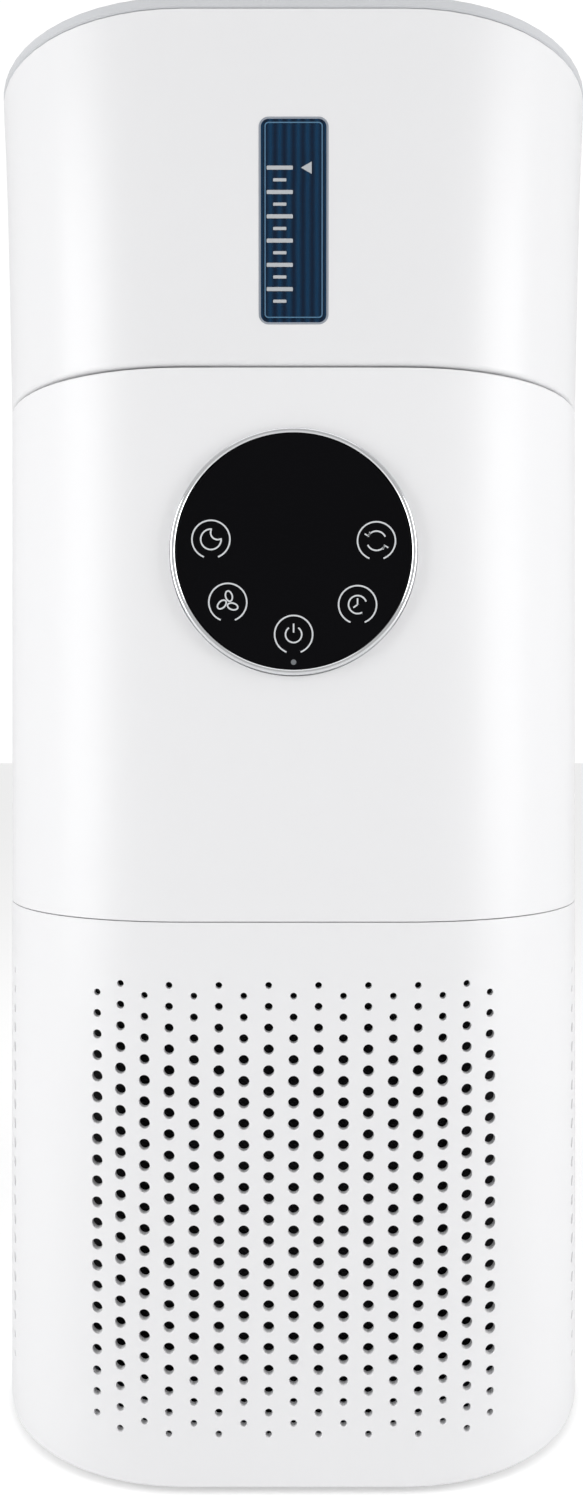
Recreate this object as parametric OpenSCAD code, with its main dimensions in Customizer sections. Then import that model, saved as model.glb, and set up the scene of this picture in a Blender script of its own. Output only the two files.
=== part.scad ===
/* [Body] */
// Width and depth of the body at its walls
body_w = 220; // [184:1:264]
// Corner radius of the body in plan
corner_r = 73; // [60:1:88]
// Thickness of the outer walls
wall = 2.5; // [2:0.1:3]
// Height of the perforated intake section
intake_h = 189; // [157:1:228]
// Height of the middle section
mid_h = 186; // [155:1:224]
// Height of the water tank
tank_h = 117; // [97:1:141]
// Height of the grey rim of the top cover
rim_h = 4; // [3:0.5:6]
// Height that the feet lift the body by
foot_h = 2.5; // [2:0.5:5]
// Straight part of the tank's outward flare
flare_taper = 2.2; // [0:0.1:3]
// Extra flare of the tank close to its rim
flare_lip = 0.95; // [0:0.05:1.5]
// Rounding of the edges beside the seams
edge_r = 0.8; // [0.4:0.1:1.2]
// Rounding of the tank's lower edge
tank_edge_r = 1.6; // [0.6:0.1:2]
// Gap left at a seam between two housings
seam_gap = 0.3; // [0.2:0.1:0.6]
// Gap left at the seam under the tank
tank_seam = 0.8; // [0.4:0.1:1.2]

/* [Perforation] */
// Diameter of the full-size holes
hole_d = 3.8; // [2.8:0.1:4.6]
// Diameter of the holes at the ends of a column
hole_end_d = 2.3; // [1.6:0.1:2.8]
// Growth in diameter from one end hole to the next
hole_grade = 0.4; // [0.2:0.1:0.8]
// Distance between columns of holes
hole_pitch_x = 8.33; // [7:0.01:10]
// Distance between holes in a column
hole_pitch_z = 7.13; // [6:0.01:9]
// Plain band below the holes
hole_low_band = 18; // [16:1:24]
// Plain band above the holes
hole_high_band = 20.5; // [16:0.5:26]
// Distance from the body's side to the outermost column
hole_side_band = 41; // [38:1:48]

/* [Display] */
// Outer diameter of the metal display ring
ring_d = 82.4; // [68:0.2:92]
// Width of the metal ring
ring_w = 2; // [1.5:0.1:3]
// How far the ring stands out of the front
ring_proud = 2.5; // [1.5:0.1:3]
// Distance from the tank seam down to the display's centre
display_drop = 62.6; // [56:0.1:80]
// Space between the touch icons and the edge of the glass
icon_margin = 5.1; // [3:0.1:8]
// Radius of each touch icon's circle
icon_r = 6.3; // [5:0.1:7]

/* [Tank and wick] */
// Width of the level window
window_w = 23.3; // [18:0.1:28]
// Height of the level window
window_h = 68.5; // [56:0.5:80]
// Height of the window's centre above the tank seam
window_rise = 47.5; // [42:0.5:60]
// Corner radius of the level window
window_r = 3.3; // [2:0.1:5]
// Height of the basin floor above the tank seam
floor_rise = 16.7; // [14:0.1:20]
// Distance between two level marks
mark_pitch = 4; // [3.2:0.1:4.8]
// Number of level marks
mark_count = 12; // [8:1:12]
// How far the chimney's top lies below the tank's top edge
chimney_drop = 48.3; // [46:0.1:56]
// Depth of the wick's pleats
pleat_depth = 14; // [10:1:16]
// Distance between the wick's pleats
pleat_pitch = 3.1; // [2.8:0.1:6]

/* [Fan] */
// Height of the impeller
impeller_h = 42.5; // [36:0.5:50]
// Number of impeller blades
blade_count = 11; // [7:1:13]
// Number of fixed vanes in the diffuser
vane_count = 9; // [5:1:13]
// Radius of the motor shaft
shaft_r = 3; // [2.5:0.1:3.6]
// Radius of the motor's case
motor_r = 28; // [24:1:30]
// Length of the motor's case
motor_h = 25; // [22:1:28]

/* [Filter] */
// Space between the filter and the body's side
filter_band = 15; // [13:1:18]
// Height of the filter's end caps
cap_h = 8; // [6:1:12]
// Number of pleats in the particle filter
hepa_pleats = 72; // [48:4:96]

/* [Hidden] */

// Clearances
fit = 0.3;
slide_fit = 0.5;
bore_fit = 0.05;
cut = 1;
overlap = 0.6;

// Levels, from the floor up
base_z = foot_h;
plate_t = 3;
base_top = base_z + plate_t;
intake_top = base_z + intake_h;
deck_z = intake_top - plate_t;
mid_top = intake_top + mid_h;
top_deck_z = mid_top - seam_gap - plate_t;
deck_face = top_deck_z + plate_t;
gasket_h = 2;
basin_z = mid_top + floor_rise;
tank_top = mid_top + tank_h;
total_h = tank_top + rim_h;

// Plan
corner_c = body_w / 2 - corner_r;
corner_reach = corner_c * sqrt(2) + corner_r - wall;
half_cols = floor((body_w / 2 - hole_side_band) / hole_pitch_x);
hole_rows = floor((intake_h - hole_low_band - hole_high_band) / hole_pitch_z) + 1;
split_cols = 2.5;
split_y = split_cols * hole_pitch_x;

// Screws
screw_r = 1.5;
screw_hole = screw_r + 0.2;
screw_pilot = screw_r + bore_fit;
head_r = 3;
head_h = 2;
cross_l = 3.4;
cross_w = 0.8;
long_screw = 10;
deck_screw = 9;
short_screw = 6;
tray_screw = 5;
motor_screw = 4;
boss_r = 4;
boss_h = 20;
lug_r = 5;
lug_h = 10;
lug_x = 25;
lug_y = body_w / 2 - wall - lug_r + overlap;
corner_boss = corner_c + (corner_r - wall - boss_r + overlap) / sqrt(2);

// Filter
filter_r = body_w / 2 - filter_band;
filter_z = base_top + fit;
seal_h = 4;
filter_top = deck_z - fit - seal_h;
cap_rim = 2;
mesh_t = 0.8;
hepa_r = filter_r - cap_rim - mesh_t - 2 * fit;
hepa_depth = 20;
carbon_t = 5;
carbon_r = hepa_r - hepa_depth - fit;
carbon_bore = carbon_r - carbon_t;
bottom_cap_t = 3;

// Posts between the base plate and the fan deck
post_r = 4.5;
side_post_x = body_w / 2 - wall - 2.5 - post_r;
side_post_y = split_y + 2 * post_r;
rear_post = (filter_r + corner_reach) / 2 / sqrt(2);
post_head_sink = 1.2;
foot_r = 7.7;
foot_edge = 0.7;
foot_pocket = 1;
foot_c = rear_post - 20;
post_spots = [for (s = [-1, 1], p = [[side_post_x, side_post_y], [rear_post, rear_post]]) [s * p[0], p[1]]];
lug_spots = [[lug_x, lug_y], [-lug_x, lug_y]];
boss_spots = [for (sx = [-1, 1], sy = [-1, 1]) [sx * corner_boss, sy * corner_boss]];

// Air path
duct_t = 2.5;
housing_r = filter_r - 17;
flange_r = housing_r + duct_t + 7.5;
flange_t = 3;
flange_screw_r = housing_r + duct_t + 4;
impeller_r = housing_r - 16;
eye_r = impeller_r - 12;
eye_gap = 5;
nozzle_r = eye_r - 5;
nozzle_t = 2;
nozzle_h = 14.5;
fillet = 5;
guard_t = 2;
guard_rim = 2;
guard_bar = 1.5;
guard_hub = 8;
lip_h = 7;
lip_t = 2;
impeller_z = intake_top + 12;
housing_top = impeller_z + impeller_h + 16;
diffuser_h = 30;
diffuser_top = housing_top + diffuser_h;
taper_h = 38;
chimney_r = body_w / 2 - 40;
chimney_t = 2.5;
chimney_bore = chimney_r - chimney_t;
chimney_top = tank_top - chimney_drop;
collar_r = chimney_bore - 0.8;
collar_t = 2;
duct_r = collar_r - collar_t;
collar_h = 10;

// Motor
hub_r = 40;
hub_t = 2;
motor_z = housing_top + 3;
shaft_low = impeller_z + 19;
bearing_r = 8;
bearing_h = 5;
nut_h = 4;
magnet_r = 12.5;
slot_count = 9;
core_z = motor_z + bearing_h + 1;
core_h = motor_h - 2 * bearing_h - 4;
motor_flange_t = 1.2;
motor_screw_r = motor_r + 3.5;

// Wick
wick_r = body_w / 2 - 12;
wick_ring_r = wick_r + 1;
wick_bore = wick_r - pleat_depth - 2;
wick_base_h = 6.5;
wick_top = chimney_top + 7;
wick_skirt_h = 3.5;
frame_t = 2;
rim_t = 0.9;
dome_h = 16;
pleat_count = floor(2 * PI * wick_r / pleat_pitch);
paper_t = 2;

// Float, in the rear right corner of the basin
float_c = (wick_ring_r + corner_reach) / 2 / sqrt(2);
float_space = (corner_reach - wick_ring_r) / 2;
guide_t = 1.5;
guide_slot = 4;
float_magnet_r = 3;
float_magnet_h = 4;
guide_r = float_space - 1.5;
float_r = guide_r - guide_t - slide_fit;
float_h = 20;
float_travel = mark_pitch * (mark_count - 1);
float_z = basin_z + 1;

// Display
ring_r = ring_d / 2;
glass_r = ring_r - ring_w - 0.1;
glass_t = 2;
glass_sink = 0.4;
icon_orbit = glass_r - icon_r - icon_margin;
display_z = mid_top - display_drop;
seat_r = ring_r + 7;
seat_y = -(body_w / 2 - wall - sagitta(seat_r) - 1.2);
ring_face_y = -body_w / 2 - ring_proud;
glass_face_y = ring_face_y + glass_sink;
ring_flange_t = 1.5;
tray_y = seat_y + ring_flange_t;
tray_t = 2;
tray_screw_r = seat_r - 2.5;
board_stud_r = 20;

// Level window
window_z = mid_top + window_rise;
window_deep = 10;
gasket_w = 0.7;
lens_raise = 0.4;
lens_border = 1.9;
mark_t = 0.15;
mark_x = -4.6;
long_mark = [8.7, 1.3];
short_mark = [4.4, 1];
pointer_x = 2.5;
pointer_w = 3.5;
pointer_h = 4;
top_mark_z = window_z + window_h / 2 - 17;

// Cover
skirt_h = 10;
skirt_t = 2;
grille_r = wick_r - 6;
grille_t = 3;
grille_top = total_h - 2;
ledge_w = 3;
grille_rim = 5;
grille_bar = 2;
grille_step = 7;
grille_hub = 24;
grille_spokes = 24;

// Electronics
board_t = 1.6;
board_w = 90;
board_h = 56;
board_y = body_w / 2 - wall - 9.5;
board_z = top_deck_z - 46;
board_post = [38, 22];
socket_z = intake_top + 21;
socket_r = 4.6;
sensor_w = 44;
sensor_h = 34;
sensor_d = 12;
sensor_pitch = 6;
sensor_slot_w = 2.4;
sensor_slot_h = 20;
sensor_z = intake_top + 70;
wire_r = 1.2;

function sagitta(x) = x > corner_c ? corner_r - sqrt(corner_r * corner_r - pow(x - corner_c, 2)) : 0;
function flare(z) = let (t = (z - mid_top) / tank_h) flare_taper * t + flare_lip * pow(t, 4);
function arc_low(r, z, e) = [for (a = [0:30:90]) [r - e + e * sin(a), z + e - e * cos(a)]];
function arc_high(r, z, e) = [for (a = [90:-30:0]) [r - e + e * sin(a), z - e + e * cos(a)]];
function tank_skin() = [for (k = [1:12]) let (z = mid_top + tank_h * k / 12) [corner_r + flare(z), z]];

// ---------- shared shapes ----------

// Plan of the body, moved in by inset
module plan(inset = 0) {
    r = corner_r - inset;
    for (sx = [-1, 1], sy = [-1, 1])
        translate([sx * corner_c, sy * corner_c]) circle(r, $fn = 96);
    square([2 * (corner_c + r), 2 * corner_c], center = true);
    square([2 * corner_c, 2 * (corner_c + r)], center = true);
}

// A solid with the body's plan whose corner radius follows a profile of [radius, z]
module turned(profile) {
    last = len(profile) - 1;
    outline = concat([[0, profile[0][1]]], profile, [[0, profile[last][1]]]);
    right = [for (p = profile) [corner_c + p[0], p[1]]];
    left = [for (i = [last:-1:0]) [-corner_c - profile[i][0], profile[i][1]]];
    for (sx = [-1, 1], sy = [-1, 1])
        translate([sx * corner_c, sy * corner_c, 0]) rotate_extrude($fn = 96) polygon(outline);
    for (turn = [0, 90])
        rotate([90, 0, turn]) linear_extrude(2 * corner_c, center = true) polygon(concat(right, left));
}

module plan_slab(z, h, inset) translate([0, 0, z]) linear_extrude(h) plan(inset);

module ring(r_out, r_in, z, h) translate([0, 0, z]) difference() {
    cylinder(r = r_out, h = h, $fn = 96);
    translate([0, 0, -cut]) cylinder(r = r_in, h = h + 2 * cut, $fn = 96);
}

module revolve(points) rotate_extrude($fn = 96) polygon(points);

// Keeps what lies in front of the split (-1) or behind it (1)
module half_space(side) {
    big = 2 * body_w;
    translate([0, split_y + side * big / 2, total_h / 2]) cube([2 * big, big, 2 * total_h], center = true);
}

module at_front(y, z) translate([0, y, z]) rotate([90, 0, 0]) children();

// Cylinder along Y between two y values
module y_rod(r, y0, y1, x, z) translate([x, y1, z]) rotate([90, 0, 0]) cylinder(r = r, h = y1 - y0, $fn = 48);

module z_rods(spots, r, z, h) for (p = spots) translate([p[0], p[1], z]) cylinder(r = r, h = h, $fn = 32);

// Screw with its head's bearing face at z = 0 and its shank pointing down
module screw(length) {
    difference() {
        cylinder(r = head_r, h = head_h, $fn = 32);
        translate([0, 0, head_h - 1]) linear_extrude(cut + 1) {
            square([cross_l, cross_w], center = true);
            square([cross_w, cross_l], center = true);
        }
    }
    translate([0, 0, -length]) cylinder(r = screw_r, h = length + 0.1, $fn = 32);
}

module rounded_rect(w, h, r) {
    square([w - 2 * r, h], center = true);
    square([w, h - 2 * r], center = true);
    for (sx = [-1, 1], sy = [-1, 1])
        translate([sx * (w / 2 - r), sy * (h / 2 - r)]) circle(r, $fn = 32);
}

// ---------- intake section ----------

hole_depth = 18;

function hole_size(k) = min(hole_d, hole_end_d + hole_grade * k);

// Column number i of the front face, its holes graded towards both ends
module hole_column(i) {
    short = i % 2 == 0 ? 1 : 0;
    count = hole_rows - short;
    for (k = [0:count - 1])
        at_front(hole_depth - body_w / 2, base_z + hole_low_band + (k + short / 2) * hole_pitch_z)
            translate([i * hole_pitch_x, 0, 0])
                cylinder(d = hole_size(min(k, count - 1 - k)), h = hole_depth + cut, $fn = 24);
}

module face_holes() for (i = [-half_cols:half_cols]) hole_column(i);

// The side columns that lie in front of the split or behind it
module side_holes(front) {
    for (i = [-half_cols:half_cols])
        if ((i < split_cols) == front) {
            rotate(90) hole_column(i);
            rotate(-90) hole_column(-i);
        }
}

module intake_wall() difference() {
    turned(concat(arc_low(corner_r, base_z, edge_r), arc_high(corner_r, intake_top - seam_gap, edge_r)));
    plan_slab(base_z - cut, intake_h + 2 * cut, wall);
}

tongue_t = 1.5;
tongue_root = 1.5;
tongue_reach = 6;
tongue_h = 36;

// Pair of tongues that slide in behind the rear shell's front edges
module tongue(z) for (sx = [-1, 1])
    translate([sx * (body_w / 2 - wall - tongue_t / 2), split_y + (tongue_reach - tongue_root) / 2, z])
        cube([tongue_t, tongue_reach + tongue_root, tongue_h], center = true);

module front_cover() color("white") {
    difference() {
        intersection() {
            intake_wall();
            half_space(-1);
        }
        face_holes();
        side_holes(true);
        translate([0, split_y, base_z + intake_h / 2])
            cube([2 * body_w, 2 * fit, 2 * intake_h], center = true);
    }
    difference() {
        for (k = [1, 2, 3]) tongue(base_z + intake_h * k / 4);
        for (sx = [-1, 1])
            translate([sx * (body_w / 2 - wall), split_y + tongue_reach, base_z + intake_h / 2])
                cube([2 * fit, 2 * tongue_reach + 2 * fit, intake_h], center = true);
    }
}

module rear_shell() color("white") {
    difference() {
        intersection() {
            intake_wall();
            half_space(1);
        }
        rotate(180) face_holes();
        side_holes(false);
    }
    difference() {
        union() {
            z_rods(lug_spots, lug_r, base_top, lug_h);
            z_rods(lug_spots, lug_r, deck_z - lug_h, lug_h);
        }
        z_rods(lug_spots, screw_pilot, base_top - cut, intake_h);
    }
}

module base_plate() color("gainsboro") difference() {
    plan_slab(base_z, plate_t, wall + fit);
    z_rods(foot_spots(), foot_r + fit, base_z - cut, foot_pocket + cut);
    z_rods(concat(post_spots, lug_spots), screw_hole, base_z - cut, plate_t + 2 * cut);
    z_rods(concat(post_spots, lug_spots), head_r + fit, base_z - cut, post_head_sink + cut);
}

function foot_spots() = [for (sx = [-1, 1], sy = [-1, 1]) [sx * foot_c, sy * foot_c]];

module feet() color("dimgray") for (p = foot_spots()) translate([p[0], p[1], 0])
    revolve([[0, 0], [foot_r - foot_edge, 0], [foot_r, foot_edge], [foot_r, base_z + foot_pocket],
        [0, base_z + foot_pocket]]);

module base_screws() color("silver") for (p = concat(post_spots, lug_spots))
    translate([p[0], p[1], base_z + post_head_sink]) rotate([180, 0, 0]) screw(deck_screw);

module posts() color("gainsboro") difference() {
    z_rods(post_spots, post_r, base_top, deck_z - base_top);
    z_rods(post_spots, screw_pilot, base_top - cut, deck_z);
}

// ---------- filter ----------

module filter_bottom_cap() color("slategray") difference() {
    translate([0, 0, filter_z]) cylinder(r = filter_r, h = cap_h, $fn = 96);
    translate([0, 0, filter_z + bottom_cap_t]) cylinder(r = filter_r - cap_rim, h = cap_h, $fn = 96);
}

module filter_top_cap() color("slategray") difference() {
    ring(filter_r, carbon_bore, filter_top - cap_h, cap_h);
    translate([0, 0, filter_top - cap_h - cut])
        cylinder(r = filter_r - cap_rim, h = cap_h - bottom_cap_t + cut, $fn = 96);
}

filter_low = filter_z + bottom_cap_t;
filter_high = filter_top - bottom_cap_t;
mesh_r = filter_r - cap_rim - fit;

module filter_mesh() color("dimgray")
    ring(mesh_r, mesh_r - mesh_t, filter_low, filter_high - filter_low);

// Points that go in turn on a far and a near radius
function zigzag(r_far, r_near, count) =
    [for (k = [0:2 * count - 1]) let (a = 180 * k / count) (k % 2 == 0 ? r_far : r_near) * [cos(a), sin(a)]];

// A pleated band between two radii
module pleats(r_out, depth, count, thick) difference() {
    polygon(zigzag(r_out, r_out - depth + thick, count));
    polygon(zigzag(r_out - thick, r_out - depth, count));
}

module filter_media() color("ghostwhite") translate([0, 0, filter_low])
    linear_extrude(filter_high - filter_low) pleats(hepa_r, hepa_depth, hepa_pleats, paper_t);

module filter_carbon() color("#2b2d30")
    ring(carbon_r, carbon_bore, filter_low, filter_high - filter_low);

module filter_seal() color("#3a3a3a") ring(carbon_r + 4, carbon_bore + 3, filter_top, seal_h);

tab_w = 18;
tab_reach = 6;
tab_t = 1.4;

// Loop of sheet on the filter's front edge, to pull the cartridge out by
module filter_tab() color("steelblue") translate([0, -filter_r - tab_reach / 2, filter_z + cap_h / 2])
    rotate([90, 0, 90]) linear_extrude(tab_w, center = true) difference() {
        square(tab_reach, center = true);
        square(tab_reach - 2 * tab_t, center = true);
    }

// ---------- middle section ----------

// Strips of upright lip that centre a housing without reaching its corners
module lips(z, h, inset) intersection() {
    difference() {
        plan_slab(z, h, inset);
        plan_slab(z - cut, h + 2 * cut, inset + lip_t);
    }
    union() {
        cube([1.5 * corner_c, 2 * body_w, 4 * total_h], center = true);
        cube([2 * body_w, corner_c, 4 * total_h], center = true);
    }
}

module fan_deck() color("gainsboro") difference() {
    union() {
        plan_slab(deck_z, plate_t, wall + fit);
        lips(intake_top - overlap, lip_h, wall + fit);
        ring(nozzle_r + nozzle_t, nozzle_r, deck_z, nozzle_h + plate_t);
        translate([0, 0, intake_top]) revolve([[nozzle_r + nozzle_t, -overlap],
            [nozzle_r + nozzle_t + fillet, -overlap], [nozzle_r + nozzle_t, fillet]]);
    }
    translate([0, 0, deck_z - cut]) cylinder(r = nozzle_r, h = nozzle_h + 8, $fn = 96);
    translate([0, 0, deck_z - cut]) cylinder(r = nozzle_r + 1, h = guard_t + cut, $fn = 96);
    deck_holes = concat(post_spots, lug_spots, boss_spots, duct_spots());
    z_rods(deck_holes, screw_hole, deck_z - cut, plate_t + 2 * cut);
    lug_lip_cuts();
}

// Room in the lips for the heads of the lug screws
module lug_lip_cuts() for (p = lug_spots)
    translate([p[0], p[1], intake_top]) cylinder(r = head_r + 1, h = 10, $fn = 32);

module guard_plan(r_out, ring_step, spokes) {
    difference() {
        circle(r_out, $fn = 96);
        circle(r_out - guard_rim, $fn = 96);
    }
    for (r = [r_out - ring_step:-ring_step:guard_hub])
        difference() {
            circle(r, $fn = 64);
            circle(r - guard_bar, $fn = 64);
        }
    circle(guard_hub, $fn = 48);
    for (k = [0:spokes - 1]) rotate(k * 360 / spokes)
        translate([0, -guard_bar / 2]) square([r_out - guard_rim / 2, guard_bar]);
}

module inlet_guard() color("gainsboro") translate([0, 0, deck_z])
    linear_extrude(guard_t) guard_plan(nozzle_r + 1 - bore_fit, 8, 6);

module deck_screws() color("silver") {
    for (p = concat(post_spots, lug_spots)) translate([p[0], p[1], intake_top]) screw(deck_screw);
    for (p = boss_spots) translate([p[0], p[1], deck_z]) rotate([180, 0, 0]) screw(long_screw);
}

module mid_wall() difference() {
    turned(concat(arc_low(corner_r, intake_top, edge_r), arc_high(corner_r, mid_top - tank_seam, edge_r)));
    plan_slab(intake_top - cut, mid_h + 2 * cut, wall);
}

module corner_bosses(side) for (sx = [-1, 1]) for (z = [intake_top, top_deck_z - boss_h])
    translate([sx * corner_boss, side * corner_boss, z]) difference() {
        cylinder(r = boss_r, h = boss_h, $fn = 32);
        translate([0, 0, -cut]) cylinder(r = screw_pilot, h = boss_h + 2 * cut, $fn = 32);
    }

// Points evenly spaced on a circle
function around(r, count, start) =
    [for (k = [0:count - 1]) let (a = start + k * 360 / count) [r * cos(a), r * sin(a)]];

module mid_front() color("white") {
    difference() {
        union() {
            intersection() {
                mid_wall();
                half_space(-1);
            }
            intersection() {
                y_rod(seat_r, -body_w / 2, seat_y, 0, display_z);
                plan_slab(intake_top, mid_h - 10, wall / 2);
            }
        }
        y_rod(ring_r + 0.2, -body_w, 0, 0, display_z);
        for (p = around(tray_screw_r, 3, 90))
            y_rod(screw_pilot, seat_y - 3, seat_y + cut, p[0], display_z + p[1]);
        translate([0, split_y, total_h / 2]) cube([2 * body_w, fit, 2 * total_h], center = true);
    }
    corner_bosses(-1);
}

module mid_rear() color("white") {
    difference() {
        intersection() {
            mid_wall();
            half_space(1);
        }
        y_rod(socket_r + 0.2, body_w / 2 - wall - 6, body_w / 2 + cut, 0, socket_z);
        for (k = [-2:2])
            translate([k * sensor_pitch, body_w / 2, sensor_z])
                cube([sensor_slot_w, 4 * wall, sensor_slot_h], center = true);
    }
    difference() {
        for (sx = [-1, 1], sz = [-1, 1])
            translate([sx * board_post[0], 0, sz * board_post[1]])
                y_rod(head_r, board_y + board_t, body_w / 2 - wall / 2, 0, board_z);
        for (sx = [-1, 1], sz = [-1, 1])
            y_rod(screw_pilot, board_y, body_w / 2 - wall, sx * board_post[0], board_z + sz * board_post[1]);
    }
    corner_bosses(1);
}

// ---------- fan ----------

function duct_spots() = around(flange_screw_r, 4, 45);

module flange(z) ring(flange_r, housing_r + 1, z, flange_t);

module fan_housing() color("whitesmoke") difference() {
    union() {
        ring(housing_r + duct_t, housing_r, intake_top, housing_top - intake_top);
        flange(intake_top);
        flange(housing_top - flange_t);
    }
    z_rods(duct_spots(), screw_hole, intake_top - cut, housing_top);
}

module vane() translate([(hub_r + housing_r) / 2, 0, housing_top + diffuser_h / 2])
    rotate([28, 0, 0]) cube([housing_r - hub_r + 2, 1.8, diffuser_h * 0.72], center = true);

module diffuser() color("whitesmoke") difference() {
    union() {
        ring(housing_r + duct_t, housing_r, housing_top, diffuser_h);
        flange(housing_top);
        flange(diffuser_top - flange_t);
        ring(hub_r, hub_r - hub_t, housing_top - 6, diffuser_h + 6);
        ring(hub_r - 1, bearing_r + 4, motor_z - 3, 3);
        ring(bearing_r + 5, bearing_r, motor_z - 3, bearing_h);
        for (k = [0:vane_count - 1]) rotate(k * 360 / vane_count) vane();
    }
    z_rods(duct_spots(), screw_hole, housing_top - cut, diffuser_h + 2 * cut);
    z_rods(around(motor_screw_r, 3, 30), screw_pilot, motor_z - 3 - cut, 3 + 2 * cut);
}

module outlet_duct() color("whitesmoke") difference() {
    union() {
        revolve([[housing_r, diffuser_top], [housing_r + duct_t, diffuser_top],
            [duct_r + duct_t, diffuser_top + taper_h], [duct_r + duct_t, top_deck_z],
            [duct_r, top_deck_z], [duct_r, diffuser_top + taper_h]]);
        ring(flange_r, housing_r, diffuser_top, flange_t);
    }
    z_rods(duct_spots(), screw_hole, diffuser_top - cut, flange_t + cut);
    y_rod(wire_r + 0.3, duct_r - 10, flange_r, 0, diffuser_top + 7);
}

module duct_screws() color("silver") {
    for (p = duct_spots(), z = [intake_top, housing_top, diffuser_top])
        translate([p[0], p[1], z + flange_t]) screw(short_screw);
    for (p = around(motor_screw_r, 3, 30))
        translate([p[0], p[1], motor_z + motor_flange_t]) screw(motor_screw);
}

// Backward-curved blade outline between the eye and the rim
module blade_plan() {
    curve_r = impeller_r * 0.75;
    intersection() {
        difference() {
            circle(impeller_r, $fn = 96);
            circle(eye_r - 14, $fn = 96);
        }
        translate([impeller_r * 0.55, -curve_r]) difference() {
            circle(curve_r + 0.7, $fn = 96);
            circle(curve_r - 0.7, $fn = 96);
        }
        translate([0, -impeller_r]) square([impeller_r, impeller_r + 10]);
    }
}

module impeller() color("#4a4d52") {
    boss_out_r = 8;
    hub_z = impeller_z + impeller_h - 2.5;
    difference() {
        union() {
            translate([0, 0, hub_z]) cylinder(r = impeller_r, h = 2.5, $fn = 96);
            translate([0, 0, shaft_low + nut_h])
                cylinder(r = boss_out_r, h = impeller_z + impeller_h - shaft_low - nut_h, $fn = 48);
        }
        translate([0, 0, impeller_z]) cylinder(r = shaft_r + bore_fit, h = impeller_h + cut, $fn = 48);
    }
    revolve([[eye_r, impeller_z], [impeller_r, impeller_z + 8.5], [impeller_r, impeller_z + 10.5],
        [eye_r, impeller_z + 2]]);
    difference() {
        translate([0, 0, impeller_z]) linear_extrude(impeller_h - 2.4)
            for (k = [0:blade_count - 1]) rotate(k * 360 / blade_count) blade_plan();
        revolve([[eye_r - 0.2, impeller_z - cut], [impeller_r + cut, impeller_z - cut],
            [impeller_r + cut, impeller_z + 9.8], [eye_r - 0.2, impeller_z + 1]]);
        translate([0, 0, impeller_z - cut]) cylinder(r = eye_r, h = cut + eye_gap, $fn = 96);
    }
}

module impeller_nut() color("goldenrod") translate([0, 0, shaft_low]) difference() {
    cylinder(r = 5.5, h = nut_h, $fn = 6);
    translate([0, 0, -cut]) cylinder(r = shaft_r + 0.02, h = nut_h + 2 * cut, $fn = 32);
}

module motor_shaft() color("silver") translate([0, 0, shaft_low - 2])
    cylinder(r = shaft_r, h = motor_z + motor_h - shaft_low + 1, $fn = 48);

module rotor_magnet() color("#55585c") difference() {
    translate([0, 0, core_z]) cylinder(r = magnet_r, h = core_h, $fn = 48);
    translate([0, 0, motor_z]) cylinder(r = shaft_r + 0.02, h = motor_h, $fn = 48);
}

module motor_case() color("silver") difference() {
    union() {
        translate([0, 0, motor_z]) cylinder(r = motor_r, h = motor_h, $fn = 96);
        translate([0, 0, motor_z]) cylinder(r = motor_r + 7, h = motor_flange_t, $fn = 96);
    }
    z_rods(around(motor_screw_r, 3, 30), screw_hole, motor_z - cut, 3 * cut);
    translate([0, 0, motor_z - cut]) cylinder(r = motor_r - 1, h = motor_h - 1.5 + cut, $fn = 96);
    translate([0, 0, motor_z]) cylinder(r = bearing_r, h = motor_h + cut, $fn = 48);
    translate([0, motor_r - 8, motor_z + motor_h - 3]) cylinder(r = wire_r + 0.3, h = 5, $fn = 24);
}

module stator_core() color("#777b80") translate([0, 0, core_z])
    linear_extrude(core_h) {
        difference() {
            circle(motor_r - 1 - bore_fit, $fn = 96);
            circle(motor_r - 4, $fn = 96);
        }
        for (k = [0:slot_count - 1]) rotate(k * 360 / slot_count)
            translate([magnet_r + 1, -1.5]) square([motor_r - magnet_r - 4, 3]);
    }

module stator_windings() color("peru") for (k = [0:slot_count - 1]) rotate(k * 360 / slot_count)
    translate([magnet_r + 6.5, 0, core_z + core_h / 2]) difference() {
        cube([6, 6.4, core_h + 3], center = true);
        cube([7, 3.1, core_h + 0.2], center = true);
    }

// Bearing whose shield lies below its two races
module bearing(z) {
    race_t = 1.4;
    shield_z = bearing_h - 0.4;
    translate([0, 0, z]) revolve([[shaft_r + bore_fit, 0], [bearing_r, 0], [bearing_r, bearing_h],
        [bearing_r - race_t, bearing_h], [bearing_r - race_t, shield_z], [shaft_r + race_t, shield_z],
        [shaft_r + race_t, bearing_h], [shaft_r + bore_fit, bearing_h]]);
}

module bearings() color("lightgray") {
    bearing(motor_z - 3);
    bearing(motor_z + motor_h - bearing_h);
}

// ---------- display ----------

module display_ring() color("silver") at_front(seat_y + ring_flange_t, display_z) difference() {
    depth = seat_y + ring_flange_t - ring_face_y;
    revolve([[ring_r - ring_w, 0], [seat_r, 0], [seat_r, ring_flange_t], [ring_r, ring_flange_t],
        [ring_r, depth - 1.6], [ring_r - 0.5, depth - 0.5], [ring_r - 1.1, depth],
        [ring_r - ring_w + 0.3, depth], [ring_r - ring_w, depth - 0.3]]);
    z_rods(around(tray_screw_r, 3, 90), screw_hole, -cut, ring_flange_t + 2 * cut);
}

module display_glass() color("#08090b") at_front(glass_face_y + glass_t, display_z)
    revolve([[0, 0], [glass_r, 0], [glass_r, glass_t - 0.3], [glass_r - 0.3, glass_t], [0, glass_t]]);

stroke = 0.5;

// Part of a ring, from angle a to angle b
module arc_band(r, w, a, b) rotate(a) intersection() {
    difference() {
        circle(r + w / 2, $fn = 64);
        circle(r - w / 2, $fn = 64);
    }
    polygon(concat([[0, 0]], [for (k = [0:6]) let (t = (b - a) * k / 6) 2 * r * [cos(t), sin(t)]]));
}

module bar(length, w, angle) rotate(angle) translate([0, -w / 2]) square([length, w]);

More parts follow.
